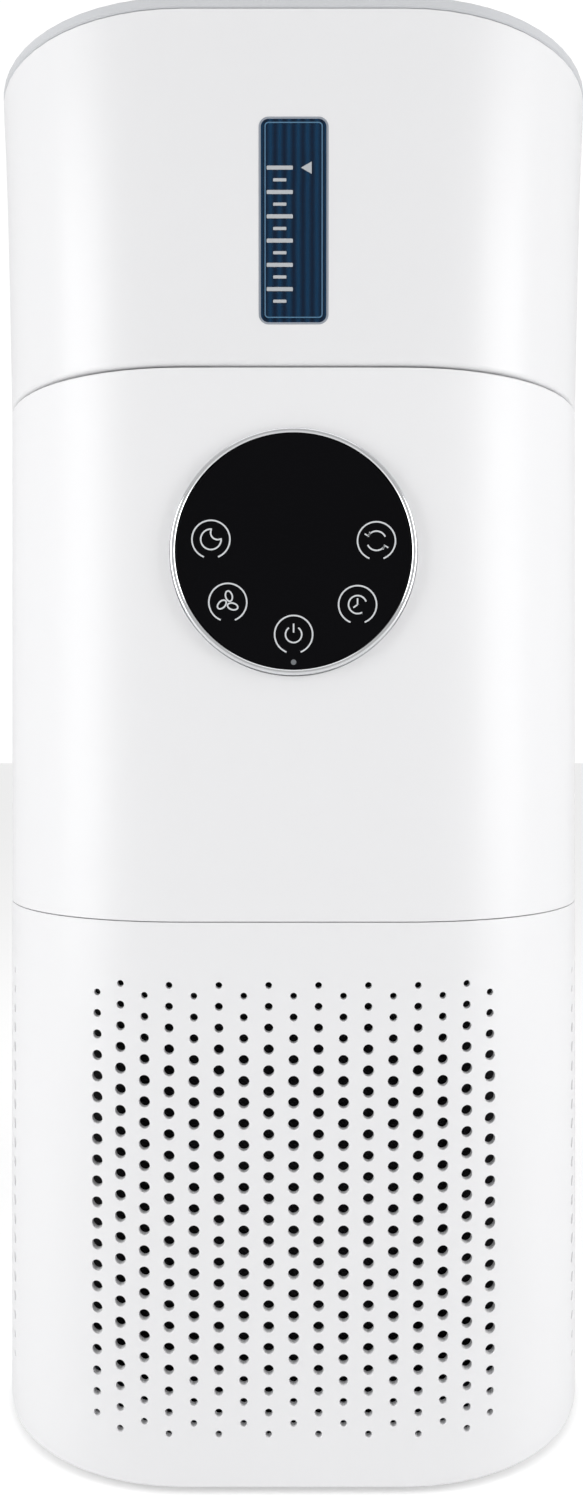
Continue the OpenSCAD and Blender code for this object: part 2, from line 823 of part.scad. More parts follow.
moon_r = 3.2;
moon_shift = 1.7;

module moon_icon() {
    difference() {
        circle(moon_r, $fn = 48);
        circle(moon_r - stroke, $fn = 48);
        translate([moon_shift, moon_shift]) circle(moon_r - 1.4 * stroke, $fn = 48);
    }
    intersection() {
        circle(moon_r, $fn = 48);
        translate([moon_shift, moon_shift]) difference() {
            circle(moon_r - 0.6 * stroke, $fn = 48);
            circle(moon_r - 1.6 * stroke, $fn = 48);
        }
    }
}

module fan_icon() for (k = [0:2]) rotate(90 + k * 120) translate([1.9, 0.5]) difference() {
    circle(1.5, $fn = 32);
    circle(1.5 - stroke, $fn = 32);
}

module power_icon() {
    arc_band(2.9, stroke, -235, 55);
    translate([0, 0.4]) bar(3.4, stroke, 90);
}

module clock_icon() {
    arc_band(3.1, stroke, 20, 300);
    bar(2.1, stroke, 90);
    bar(1.7, stroke, 215);
}

module auto_icon() for (turn = [0, 180]) rotate(turn) {
    arc_band(3.3, stroke, 25, 150);
    rotate(150) translate([3.3, 0]) polygon([[-1.1, -0.2], [1.1, -0.2], [0, 1.5]]);
}

function icon_angles() = [172, 218, 270, 320, 7];

module icon_ring(gap) arc_band(icon_r, stroke, -90 + gap, 270 - gap);

module touch_icons() color("white") at_front(glass_face_y, display_z) linear_extrude(mark_t)
    for (k = [0:4]) rotate(icon_angles()[k]) translate([icon_orbit, 0]) rotate(-icon_angles()[k]) {
        icon_ring(22);
        if (k == 0) moon_icon();
        if (k == 1) fan_icon();
        if (k == 2) power_icon();
        if (k == 3) clock_icon();
        if (k == 4) auto_icon();
    }

module display_tray() color("#1b1c1e") difference() {
    union() {
        at_front(tray_y + overlap, display_z)
            ring(glass_r, glass_r - tray_t, 0, tray_y + overlap - glass_face_y - glass_t);
        at_front(tray_y + tray_t, display_z) cylinder(r = seat_r, h = tray_t, $fn = 96);
    }
    for (p = around(tray_screw_r, 3, 90))
        y_rod(screw_hole, tray_y - cut, tray_y + tray_t + cut, p[0], display_z + p[1]);
    y_rod(2.5 * wire_r, tray_y - cut, tray_y + tray_t + cut, -board_stud_r, display_z);
}

board_front_y = glass_face_y + glass_t + 1;

module display_board() color("#1f5c3a") {
    at_front(board_front_y + board_t, display_z) cylinder(r = glass_r - 2 - fit, h = board_t, $fn = 96);
    for (p = around(board_stud_r, 4, 45))
        y_rod(2, board_front_y + board_t - 0.1, tray_y, p[0], display_z + p[1]);
}

sensor_dot_r = 0.9;
sensor_dot_in = 2.2;

module light_sensor() color("#777777") at_front(glass_face_y, display_z - glass_r + sensor_dot_in)
    cylinder(r = sensor_dot_r, h = mark_t, $fn = 24);

// ---------- electronics ----------

module power_board() color("#2a6b45") translate([0, board_y + board_t / 2, board_z]) difference() {
    cube([board_w, board_t, board_h], center = true);
    for (sx = [-1, 1], sz = [-1, 1])
        translate([sx * board_post[0], 0, sz * board_post[1]]) rotate([90, 0, 0])
            cylinder(r = screw_hole, h = 3 * board_t, center = true, $fn = 32);
}

module part_box(x, z, w, h, d) translate([x - w / 2, board_y - d, board_z + z - h / 2]) cube([w, d, h]);

module board_parts() color("#33363a") {
    part_box(-18, 8, 22, 20, 8);
    part_box(12, 12, 12, 14, 5);
    part_box(30, -4, 10, 18, 6.5);
    part_box(0, -21, 14, 8, 6);
    part_box(-28, -20, 10, 8, 6);
    for (x = [8, 19]) y_rod(4, board_y - 8.5, board_y, x, board_z - 6);
    for (x = [-8, 24]) y_rod(2.5, board_y - 6, board_y, x, board_z - 12);
}

module power_socket() color("#202124") {
    back_y = body_w / 2 - wall - fit;
    difference() {
        union() {
            translate([-7, back_y - 12, socket_z - 6]) cube([14, 12, 12]);
            y_rod(socket_r, back_y - 0.1, body_w / 2 - 0.6, 0, socket_z);
        }
        y_rod(2.8, back_y - 9, body_w / 2 + cut, 0, socket_z);
    }
    y_rod(1, back_y - 9.1, body_w / 2 - 2, 0, socket_z);
}

module air_sensor() color("#d8d8d4")
    translate([0, body_w / 2 - wall - fit - sensor_d / 2, sensor_z]) difference() {
        cube([sensor_w, sensor_d, sensor_h], center = true);
        for (k = [-2:2])
            translate([k * sensor_pitch, sensor_d / 2, 0])
                cube([sensor_slot_w, 4, sensor_slot_h], center = true);
    }

// A run of round wire through a list of points
module wire(points) {
    for (i = [0:len(points) - 2]) {
        d = points[i + 1] - points[i];
        translate(points[i]) rotate([0, acos(d[2] / norm(d)), atan2(d[1], d[0])])
            cylinder(r = wire_r, h = norm(d), $fn = 24);
    }
    for (i = [1:len(points) - 2]) translate(points[i]) sphere(r = wire_r * 1.05, $fn = 24);
}

module wiring() color("#444444") {
    side = body_w / 2 - 12;
    diag = float_c;
    route_z = display_z + 8;
    low_z = board_z - board_h / 2 + 2;
    face_y = board_y - 1.1 * wire_r;
    wire([[3, board_y - 5, socket_z + 7.4], [32, face_y, socket_z + 16], [32, face_y, low_z + 3]]);
    wire([[-board_w / 2 + 3, face_y, board_z], [-diag + 3, diag, route_z], [-side, split_y, route_z],
        [-side, -split_y, route_z], [-diag + 3, -diag, route_z], [-20, tray_y + 8, display_z + 4],
        [-20, tray_y + 1, display_z]]);
    wire([[0, motor_r - 8, motor_z + motor_h - 1], [0, motor_r - 8, diffuser_top + 7],
        [0, flange_r + 4, diffuser_top + 7], [0, board_y - 3, board_z - board_h / 2 + 2.6]]);
}

// ---------- top deck ----------

module top_deck() color("gainsboro") difference() {
    union() {
        plan_slab(top_deck_z, plate_t, wall + fit);
        lips(deck_face - overlap, lip_h, wall + slide_fit);
        ring(collar_r, duct_r, top_deck_z, plate_t + collar_h);
    }
    translate([0, 0, top_deck_z - cut]) cylinder(r = duct_r, h = 20, $fn = 96);
    z_rods(boss_spots, screw_hole, top_deck_z - cut, plate_t + 2 * cut);
}

module duct_guard() color("gainsboro") translate([0, 0, top_deck_z])
    linear_extrude(guard_t) guard_plan(duct_r - bore_fit, 9, 8);

module deck_gasket() color("#bfc4c8") ring(chimney_r, collar_r + fit, deck_face, gasket_h);

switch_size = [12, 8, 6];
switch_in = 5;

// Senses the float's magnet through the tank's floor
module level_switch() color("#26282b")
    translate([float_c - switch_in, float_c - switch_in, top_deck_z - switch_size[2] / 2])
        cube(switch_size, center = true);

module top_screws() color("silver") {
    for (p = boss_spots) translate([p[0], p[1], deck_face]) screw(long_screw);
    for (p = around(tray_screw_r, 3, 90))
        translate([p[0], tray_y + tray_t, display_z + p[1]]) rotate([-90, 0, 0]) screw(tray_screw);
    for (sx = [-1, 1], sz = [-1, 1])
        translate([sx * board_post[0], board_y, board_z + sz * board_post[1]])
            rotate([90, 0, 0]) screw(short_screw);
}

// ---------- tank ----------

module tank_outside() turned(concat(arc_low(corner_r, mid_top, tank_edge_r), tank_skin()));

module tank_inside(z0, z1) turned([for (k = [0, 0.7, 1]) let (z = z0 + (z1 - z0) * k)
    [corner_r + flare(z) - wall, z]]);

// Front wall of the tank between two depths under its skin
module front_skin(inset_out, inset_in) {
    steps = [for (k = [0:12]) mid_top + tank_h * k / 12];
    outer = [for (z = steps) [-body_w / 2 - flare(z) + inset_out, z]];
    inner = [for (k = [12:-1:0]) [-body_w / 2 - flare(steps[k]) + inset_in, steps[k]]];
    rotate([90, 0, 90]) linear_extrude(2 * window_w, center = true) polygon(concat(outer, inner));
}

module window_prism(grow) at_front(window_deep - body_w / 2, window_z) linear_extrude(2 * window_deep)
    rounded_rect(window_w + 2 * grow, window_h + 2 * grow, window_r + grow);

module tank() color("white") difference() {
    union() {
        difference() {
            tank_outside();
            tank_inside(basin_z, tank_top + 0.01);
            plan_slab(mid_top - cut, floor_rise - plate_t + cut, wall);
        }
        translate([0, 0, deck_face + gasket_h])
            cylinder(r = chimney_r, h = chimney_top - deck_face - gasket_h, $fn = 96);
    }
    translate([0, 0, deck_face]) cylinder(r = chimney_bore, h = tank_h, $fn = 96);
    window_prism(0);
}

module window_gasket() color("#9aa0a6") intersection() {
    front_skin(0, wall);
    difference() {
        window_prism(-bore_fit);
        window_prism(-gasket_w);
    }
}

module window_lens() color("#0b3a66") {
    intersection() {
        front_skin(0, wall);
        window_prism(-gasket_w - bore_fit);
    }
    intersection() {
        front_skin(-lens_raise, 0.5);
        window_prism(-lens_border);
    }
}

module level_marks() color("white") intersection() {
    front_skin(-lens_raise - mark_t, -lens_raise);
    union() {
        for (k = [0:mark_count - 1]) {
            size = k % 2 == 0 ? long_mark : short_mark;
            translate([mark_x, -body_w / 2, top_mark_z - k * mark_pitch])
                cube([size[0], 2 * window_deep, size[1]], center = true);
        }
        at_front(window_deep - body_w / 2, top_mark_z) linear_extrude(2 * window_deep)
            polygon([[pointer_x, 0], [pointer_x + pointer_w, pointer_h / 2],
                [pointer_x + pointer_w, -pointer_h / 2]]);
    }
}

module float_guide() color("whitesmoke") translate([float_c, float_c, 0]) difference() {
    ring(guide_r, guide_r - guide_t, basin_z, float_travel + float_h + 4);
    for (turn = [45, 135])
        rotate(turn) translate([0, 0, basin_z + (float_travel + float_h) / 2])
            cube([guide_slot, 4 * guide_r, float_travel + float_h - 2 * guide_slot], center = true);
}

module water_float() color("lightsteelblue") difference() {
    translate([float_c, float_c, 0]) revolve([[0, float_z], [float_r - 1, float_z], [float_r, float_z + 1],
        [float_r, float_z + float_h - 1], [float_r - 1, float_z + float_h], [0, float_z + float_h]]);
    translate([float_c, float_c, float_z - cut])
        cylinder(r = float_magnet_r, h = float_magnet_h + cut, $fn = 32);
}

module float_magnet() color("#606468") translate([float_c, float_c, float_z])
    cylinder(r = float_magnet_r - bore_fit, h = float_magnet_h, $fn = 32);

// ---------- wick ----------

module wick_base() color("lightsteelblue") difference() {
    ring(wick_ring_r, wick_bore - 1, basin_z, wick_base_h);
    ring(wick_ring_r - rim_t, wick_bore - 1 + rim_t, basin_z + frame_t, wick_base_h);
}

module wick_media() color("#1d5fa0") translate([0, 0, basin_z + frame_t])
    linear_extrude(wick_top - basin_z - frame_t) pleats(wick_r, pleat_depth, pleat_count, paper_t);

// Channel over the pleats with a dome that turns the air outwards through them
module wick_cap() color("lightsteelblue") {
    top = wick_top + frame_t;
    low = wick_top - wick_skirt_h;
    knee_r = wick_ring_r * 0.6;
    knee_z = top + dome_h - 3;
    revolve([[wick_ring_r - rim_t, low], [wick_ring_r, low], [wick_ring_r, top], [wick_bore, top],
        [knee_r, knee_z], [0, top + dome_h], [0, top + dome_h - frame_t], [knee_r, knee_z - frame_t],
        [wick_bore - 1, wick_top], [wick_bore - 1, low], [wick_bore - 1 + rim_t, low],
        [wick_bore - 1 + rim_t, wick_top], [wick_ring_r - rim_t, wick_top]]);
    difference() {
        translate([0, 0, top + dome_h - 1.2]) cylinder(r = 11, h = 5, $fn = 48);
        translate([0, 0, top + dome_h + 1.5]) cylinder(r = 8.5, h = 5, $fn = 48);
    }
}

// ---------- top cover ----------

rim_out = corner_r + flare(tank_top);
rim_chamfer = 0.5;
skirt_r = corner_r + flare(tank_top - skirt_h) - wall - slide_fit;

module cover_rim() color("#c2c4c9") difference() {
    union() {
        turned(concat([[rim_out - rim_chamfer, tank_top + fit], [rim_out, tank_top + fit + rim_chamfer]],
            arc_high(rim_out, total_h, edge_r)));
        turned([[skirt_r, tank_top - skirt_h], [skirt_r, tank_top + fit + 1]]);
    }
    plan_slab(tank_top - skirt_h - cut, skirt_h - 2 + cut, wall + skirt_t);
    translate([0, 0, tank_top - skirt_h]) cylinder(r = grille_r - ledge_w, h = 3 * skirt_h, $fn = 96);
    translate([0, 0, grille_top - grille_t]) cylinder(r = grille_r, h = skirt_h, $fn = 96);
}

module outlet_grille() color("white") {
    translate([0, 0, grille_top - grille_t]) linear_extrude(grille_t) {
        difference() {
            circle(grille_r - fit, $fn = 96);
            circle(grille_r - grille_rim, $fn = 96);
        }
        for (r = [grille_r - grille_rim - grille_step + 1:-grille_step:grille_hub + grille_bar + 4])
            difference() {
                circle(r, $fn = 96);
                circle(r - grille_bar, $fn = 96);
            }
        circle(grille_hub, $fn = 96);
        for (k = [0:grille_spokes - 1]) rotate(k * 360 / grille_spokes)
            translate([grille_hub - 1, -grille_bar / 2])
                square([grille_r - grille_rim - grille_hub + 2, grille_bar]);
    }
}

base_plate();
feet();
base_screws();
posts();
rear_shell();
front_cover();
filter_bottom_cap();
filter_top_cap();
filter_mesh();
filter_media();
filter_carbon();
filter_seal();
filter_tab();
fan_deck();
inlet_guard();
deck_screws();
mid_front();
mid_rear();
fan_housing();
diffuser();
outlet_duct();
duct_screws();
impeller();
impeller_nut();
motor_shaft();
rotor_magnet();
motor_case();
stator_core();
stator_windings();
bearings();
display_ring();
display_glass();
touch_icons();
display_tray();
display_board();
light_sensor();
power_board();
board_parts();
power_socket();
air_sensor();
wiring();
top_deck();
duct_guard();
deck_gasket();
level_switch();
top_screws();
tank();
window_lens();
window_gasket();
level_marks();
float_guide();
water_float();
float_magnet();
wick_base();
wick_media();
wick_cap();
cover_rim();
outlet_grille();
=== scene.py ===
import math

import bmesh
import bpy
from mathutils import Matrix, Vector


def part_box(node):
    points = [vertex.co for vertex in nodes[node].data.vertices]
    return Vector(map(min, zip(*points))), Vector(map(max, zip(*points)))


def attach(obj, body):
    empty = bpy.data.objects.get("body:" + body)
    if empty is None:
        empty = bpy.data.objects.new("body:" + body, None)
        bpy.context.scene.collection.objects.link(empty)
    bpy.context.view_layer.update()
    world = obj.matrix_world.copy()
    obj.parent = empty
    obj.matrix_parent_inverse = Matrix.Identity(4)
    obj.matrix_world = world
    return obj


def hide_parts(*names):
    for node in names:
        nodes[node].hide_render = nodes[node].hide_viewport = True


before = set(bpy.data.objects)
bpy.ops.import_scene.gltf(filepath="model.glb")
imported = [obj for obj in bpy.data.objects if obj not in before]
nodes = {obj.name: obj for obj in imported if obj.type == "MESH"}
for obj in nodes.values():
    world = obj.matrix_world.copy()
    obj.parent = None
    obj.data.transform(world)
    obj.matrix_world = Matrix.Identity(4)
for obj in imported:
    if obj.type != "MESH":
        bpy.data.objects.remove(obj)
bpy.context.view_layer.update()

scene = bpy.context.scene
MM = 0.001

# ---------- sizes, in metres ----------

CORNER_R = 73 * MM
WALL = 2.5 * MM
EDGE_R = 0.8 * MM
SEAM_EDGE = 0.2 * MM
TANK_EDGE_R = 1.6 * MM
FIT = 0.3 * MM

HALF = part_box("mid_rear")[1].x
CORE = HALF - CORNER_R
INTAKE_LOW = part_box("rear_shell")[0].z
INTAKE_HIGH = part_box("rear_shell")[1].z
MID_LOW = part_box("mid_rear")[0].z
MID_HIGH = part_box("mid_rear")[1].z
TANK_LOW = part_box("tank")[0].z
TANK_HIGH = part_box("tank")[1].z
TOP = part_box("cover_rim")[1].z
RIM_LOW = TANK_HIGH + FIT
SKIRT_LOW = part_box("cover_rim")[0].z

FLARE_TAPER = 2.2 * MM
FLARE_LIP = 0.95 * MM

HOLE_PITCH = 8.33 * MM
HOLE_RISE = 7.13 * MM
HOLE_FIRST = INTAKE_LOW + 18 * MM
HOLE_ROWS = 22
HOLE_COLUMNS = 8
HOLE_FULL = 3.8 * MM
HOLE_END = 2.3 * MM
HOLE_GRADE = 0.4 * MM
HOLE_LIP = 0.12 * MM
HOLE_SIDES = 20
SPLIT_COLUMN = 2.5
CORNER_STRIPS = 8

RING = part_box("display_ring")
DISPLAY_Z = (RING[0].z + RING[1].z) / 2
RING_FACE = -RING[0].y
RING_BACK = -RING[1].y
SEAT_R = RING[1].x
RING_R = 41.2 * MM
RING_W = 2 * MM
FLANGE_T = 1.5 * MM
CROWN_H = 1 * MM
CROWN_LOW = 1.5 * MM
CROWN_STEPS = 8
DISPLAY_SIDES = 160
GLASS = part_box("display_glass")
GLASS_R = GLASS[1].x
GLASS_FACE = -GLASS[0].y
GLASS_BACK = -GLASS[1].y
GLASS_EDGE = 0.3 * MM
ICON_ORBIT = 27.7 * MM
ICON_R = 6.3 * MM
ICON_LINE = 0.5 * MM
ICON_T = 0.15 * MM

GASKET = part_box("window_gasket")
WINDOW_Z = (GASKET[0].z + GASKET[1].z) / 2
WINDOW_W = 23.3 * MM
WINDOW_H = 68.5 * MM
WINDOW_R = 3.3 * MM
GASKET_W = 0.7 * MM
LENS_BORDER = 1.9 * MM
LENS_RAISE = 0.4 * MM
LENS_EDGE = 0.3 * MM
RAISED_DEPTH = 0.6 * MM
BORDER_T = 0.1 * MM
BORDER_W = 0.35 * MM
PLEAT_PITCH = 3.1 * MM
# A wave texture of scale one repeats at this distance
WAVE_PERIOD = 2 * math.pi / 20
FLUTE_DEPTH = 0.9 * MM
FLUTE_STEPS = 96
SLAB_STEPS = 24
SEAL_GAP = 0.05 * MM
MARK_PITCH = 4 * MM
MARK_COUNT = 12
MARK_X = -4.6 * MM
MARK_T = 0.15 * MM
LONG_MARK = (8.7 * MM, 1.3 * MM)
SHORT_MARK = (4.4 * MM, 1 * MM)
POINTER_X = 2.5 * MM
POINTER_W = 3.5 * MM
POINTER_H = 4 * MM
TOP_MARK = WINDOW_Z + WINDOW_H / 2 - 17 * MM

BASIN_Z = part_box("wick_base")[0].z
FLOOR_T = 3 * MM
CHIMNEY_R = HALF - 40 * MM
CHIMNEY_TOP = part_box("wick_media")[1].z - 7 * MM
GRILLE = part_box("outlet_grille")
GRILLE_R = GRILLE[1].x
LEDGE_R = GRILLE_R - 2.7 * MM
GRILLE_RIM = 4.7 * MM
BAR_W = 2 * MM
BAR_STEP = 7 * MM
BAR_EDGE = 0.7 * MM
HUB_R = 24 * MM
SPOKES = 24
SPOKE_LOW = 0.3 * MM
SPOKE_SHOULDER = 2 * MM
SPOKE_TOP = 2.5 * MM
SOCKET_Z = (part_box("power_socket")[0].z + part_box("power_socket")[1].z) / 2
SOCKET_R = 4.8 * MM
SENSOR_Z = (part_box("air_sensor")[0].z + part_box("air_sensor")[1].z) / 2
# Slots on each side of the middle one in front of the air sensor
SENSOR_SLOTS = 2
SLOT_W = 2.4 * MM
SLOT_H = 20 * MM
SLOT_R = 1.1 * MM
SLOT_PITCH = 6 * MM


def flare(z):
    """How far the tank's skin stands out past the body at a height."""
    t = (z - TANK_LOW) / (TANK_HIGH - TANK_LOW)
    return FLARE_TAPER * t + FLARE_LIP * t**4


# ---------- mesh building ----------


class Skin:
    """Faces that share the vertices they have in common."""

    def __init__(self):
        self.index = {}
        self.points = []
        self.faces = []

    def at(self, point):
        key = tuple(round(c * 1e6) for c in point)
        if key not in self.index:
            self.index[key] = len(self.points)
            self.points.append(tuple(point))
        return self.index[key]

    def face(self, *points):
        ids = []
        for point in points:
            i = self.at(point)
            if i not in ids:
                ids.append(i)
        if len(ids) > 2:
            self.faces.append(ids)

    def rings(self, rings, closed=True, looped=False):
        """Quads between one ring of points and the next.
        closed joins each ring's ends, looped joins the last ring to the first."""
        pairs = list(zip(rings, rings[1:]))
        if looped:
            pairs.append((rings[-1], rings[0]))
        for low, high in pairs:
            count = len(low)
            for i in range(count if closed else count - 1):
                j = (i + 1) % count
                self.face(low[i], low[j], high[j], high[i])

    def fill(self, ring):
        self.face(*ring)


def raw_object(name, skin):
    """A mesh object from a skin, with its faces turned outwards."""
    mesh = bpy.data.meshes.new(name)
    mesh.from_pydata(skin.points, [], skin.faces)
    obj = bpy.data.objects.new(name, mesh)
    scene.collection.objects.link(obj)
    work = bmesh.new()
    work.from_mesh(mesh)
    bmesh.ops.recalc_face_normals(work, faces=work.faces)
    work.to_mesh(mesh)
    work.free()
    return obj


def smooth(obj, angle=32):
    """Smooth shading, except over edges sharper than the angle."""
    obj.data.shade_smooth()
    obj.data.set_sharp_from_angle(angle=math.radians(angle))
    even = obj.modifiers.new("even normals", "WEIGHTED_NORMAL")
    even.keep_sharp = True
    even.weight = 80


def piece(obj, body, material, slot, *replaced, angle=32):
    """Shades an object, gives it its material and hangs it on its body."""
    smooth(obj, angle)
    obj.data.materials.clear()
    obj.data.materials.append(material)
    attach(obj, body)
    if replaced:
        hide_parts(*replaced)
    return obj


def apply_boolean(obj, tool, operation):
    """Cuts or keeps obj by the tool, which is then removed."""
    boolean = obj.modifiers.new(operation, "BOOLEAN")
    boolean.operation = operation
    boolean.object = tool
    boolean.solver = "EXACT"
    graph = bpy.context.evaluated_depsgraph_get()
    made = bpy.data.meshes.new_from_object(obj.evaluated_get(graph))
    obj.modifiers.clear()
    obj.data = made
    bpy.data.objects.remove(tool)


def turn(side, along, depth):
    """A point of the plan from its place on the front (0), right, back or left side."""
    return [(along, -depth), (depth, along), (-along, depth), (-depth, -along)][side]


def side_line(side, along):
    """An upright line on one side, as a function from the corner radius to its place in the plan."""
    past = max(abs(along) - CORE, 0)
    return lambda radius: turn(side, along, CORE + math.sqrt(radius**2 - past**2))


def corner_line(side, angle):
    """An upright line in the corner after a side, at an angle from that side's normal."""
    return lambda radius: turn(side, CORE + radius * math.sin(angle), CORE + radius * math.cos(angle))


def side_lines(side, start, end, count):
    return [side_line(side, start + (end - start) * i / count) for i in range(count + 1)]


def corner_lines(side, count=16):
    return [corner_line(side, math.pi / 2 * i / count) for i in range(1, count)]


def whole_plan():
    lines = []
    for side in range(4):
        lines += side_lines(side, -CORE, CORE, 6) + corner_lines(side)
    return lines


def ring_at(lines, radius, z):
    return [(*line(radius), z) for line in lines]


def circle_at(lines, radius, z):
    """A round ring whose points lie at the same bearings as those of a plan ring."""
    ring = []
    for line in lines:
        x, y = line(CORNER_R)
        reach = math.hypot(x, y)
        ring.append((x / reach * radius, y / reach * radius, z))
    return ring


def arc(radius, z, edge, start, end, steps=5):
    """Profile points of a rounded edge, turning from start to end in degrees.
    0 faces outwards and 90 upwards."""
    points = []
    for i in range(steps + 1):
        a = math.radians(start + (end - start) * i / steps)
        points.append((radius - edge + edge * math.cos(a), z + edge * math.sin(a)))
    return points


def lathe(skin, profile, place, sides=128, looped=True):
    """Turns a profile of (radius, height) and puts each ring with place(x, y, height)."""
    rings = []
    for radius, height in profile:
        turns = [2 * math.pi * i / sides for i in range(sides)]
        rings.append([place(radius * math.cos(a), radius * math.sin(a), height) for a in turns])
    skin.rings(rings, looped=looped)
    return rings


def upright(x, y, height):
    return (x, y, height)


def facing_front(x, y, height):
    """Height is measured forwards from the body's axis."""
    return (x, -height, DISPLAY_Z + y)


# ---------- materials ----------


class Nodes:
    """A node material being built round one Principled shader."""

    def __init__(self, name):
        self.material = bpy.data.materials.new(name)
        self.material.use_nodes = True
        self.tree = self.material.node_tree
        self.shader = self.tree.nodes["Principled BSDF"]
        self.place = self.add("ShaderNodeTexCoord").outputs["Object"]

    def add(self, kind, **values):
        node = self.tree.nodes.new(kind)
        for key, value in values.items():
            setattr(node, key, value)
        return node

    def link(self, source, target):
        self.tree.links.new(source, target)

    def stretched(self, x, y, z):
        node = self.add("ShaderNodeMapping")
        node.inputs["Scale"].default_value = (x, y, z)
        self.link(self.place, node.inputs["Vector"])
        return node.outputs["Vector"]

    def noise(self, scale, detail=4, vector=None):
        node = self.add("ShaderNodeTexNoise")
        node.inputs["Scale"].default_value = scale
        node.inputs["Detail"].default_value = detail
        self.link(vector or self.place, node.inputs["Vector"])
        return node.outputs["Fac"]

    def cells(self, scale, feature="F1"):
        node = self.add("ShaderNodeTexVoronoi", feature=feature)
        node.inputs["Scale"].default_value = scale
        self.link(self.place, node.inputs["Vector"])
        return node.outputs["Distance"]

    def bands(self, scale, direction, distortion=0.0):
        node = self.add("ShaderNodeTexWave", bands_direction=direction)
        node.inputs["Scale"].default_value = scale
        node.inputs["Distortion"].default_value = distortion
        self.link(self.place, node.inputs["Vector"])
        return node.outputs["Fac"]

    def spread(self, source, low, high):
        node = self.add("ShaderNodeMapRange")
        node.inputs["To Min"].default_value = low
        node.inputs["To Max"].default_value = high
        self.link(source, node.inputs["Value"])
        return node.outputs["Result"]

    def colours(self, source, dark, light):
        node = self.add("ShaderNodeValToRGB")
        node.color_ramp.elements[0].color = (*dark, 1)
        node.color_ramp.elements[1].color = (*light, 1)
        self.link(source, node.inputs["Fac"])
        self.link(node.outputs["Color"], self.shader.inputs["Base Color"])

    def rough(self, source, low, high):
        self.link(self.spread(source, low, high), self.shader.inputs["Roughness"])

    def bump(self, source, depth, strength=1.0):
        node = self.add("ShaderNodeBump")
        node.inputs["Distance"].default_value = depth
        node.inputs["Strength"].default_value = strength
        self.link(source, node.inputs["Height"])
        self.link(node.outputs["Normal"], self.shader.inputs["Normal"])

    def set(self, **values):
        for key, value in values.items():
            self.shader.inputs[key.replace("_", " ")].default_value = value
        return self.material


def shade(colour, factor):
    return tuple(c * factor for c in colour)


def plastic(name, colour, low=0.3, high=0.42, grain=2600, depth=0.012 * MM):
    """Moulded plastic with a very fine sparked grain and slightly uneven gloss."""
    made = Nodes(name)
    made.colours(made.noise(9, 3), shade(colour, 0.985), colour)
    made.rough(made.noise(160, 6), low, high)
    made.bump(made.noise(grain, 2), depth, 0.35)
    return made.set(IOR=1.46)


def brushed(name, colour, low, high, axis):
    """Metal with fine drawn lines along one axis."""
    made = Nodes(name)
    grain = made.noise(120, 6, made.stretched(*axis))
    made.colours(grain, shade(colour, 0.86), colour)
    made.rough(grain, low, high)
    made.bump(grain, 0.01 * MM, 0.4)
    return made.set(Metallic=1.0)


def paper(name, light, dark, scale):
    """Fibrous folded paper, darker towards some of its fibres."""
    made = Nodes(name)
    fibres = made.noise(scale, 8, made.stretched(1, 1, 0.15))
    made.colours(fibres, dark, light)
    made.rough(fibres, 0.75, 0.95)
    made.bump(fibres, 0.08 * MM, 0.7)
    return made.set()


def weave(name, light, dark, scale):
    """Woven cloth or mesh, with threads running up and across, darker where the threads dip and between
    them as painted shade.
    """
    made = Nodes(name)
    across = made.bands(scale, "Z")
    along = made.bands(scale, "DIAGONAL")
    both = made.add("ShaderNodeMath", operation="MULTIPLY")
    made.link(across, both.inputs[0])
    made.link(along, both.inputs[1])
    made.colours(both.outputs["Value"], dark, light)
    made.rough(both.outputs["Value"], 0.6, 0.9)
    made.bump(both.outputs["Value"], 0.2 * MM, 0.8)
    return made.set()


def granular(name, light, dark, scale, depth):
    """A surface of packed grains or open foam cells, darker down in each hollow as painted shade."""
    made = Nodes(name)
    grains = made.cells(scale)
    # Painted shade in the hollows that the bump below sinks
    made.colours(grains, dark, light)
    made.rough(made.noise(scale, 4), 0.7, 0.95)
    made.bump(grains, depth, 0.9)
    return made.set()


def board(name, colour):
    """A printed board: solder resist over faint tracks."""
    made = Nodes(name)
    tracks = made.cells(260, "DISTANCE_TO_EDGE")
    made.colours(tracks, shade(colour, 1.5), colour)
    made.rough(tracks, 0.3, 0.5)
    made.bump(tracks, 0.05 * MM, 0.4)
    return made.set()


def wound(name, colour):
    """Enamelled wire laid in close turns, darker down in the grooves between them as painted shade."""
    made = Nodes(name)
    turns = made.bands(900, "Z", 0.6)
    made.colours(turns, shade(colour, 0.45), colour)
    made.rough(turns, 0.25, 0.4)
    made.bump(turns, 0.15 * MM, 0.8)
    return made.set(Metallic=0.9)


def gloss_black(name):
    """Black printed glass with the slightest ripple in its polish."""
    made = Nodes(name)
    made.colours(made.noise(12, 2), (0.0015, 0.0015, 0.002), (0.003, 0.003, 0.004))
    made.rough(made.noise(60, 3), 0.03, 0.06)
    made.bump(made.noise(40, 2), 0.004 * MM, 0.2)
    return made.set(IOR=1.45, Specular_IOR_Level=0.07)


def tinted(name):
    """Deep blue moulded window, seen through a little. Its light and dark upright stripes at the pleat
    pitch are painted light and shade of the wick's pleats behind it.
    """
    made = Nodes(name)
    # Painted light on the pleat ridges and painted shade in their hollows, laid on the lens as stripes
    pleat_light_and_shade = made.bands(WAVE_PERIOD / PLEAT_PITCH, "X", 0.4)
    made.colours(pleat_light_and_shade, (0.0008, 0.014, 0.045), (0.004, 0.05, 0.125))
    made.rough(made.noise(90, 3), 0.05, 0.1)
    made.bump(made.noise(300, 2), 0.01 * MM, 0.2)
    made.shader.inputs["Transmission Weight"].default_value = 0.4
    return made.set(IOR=1.42, Specular_IOR_Level=0.12)


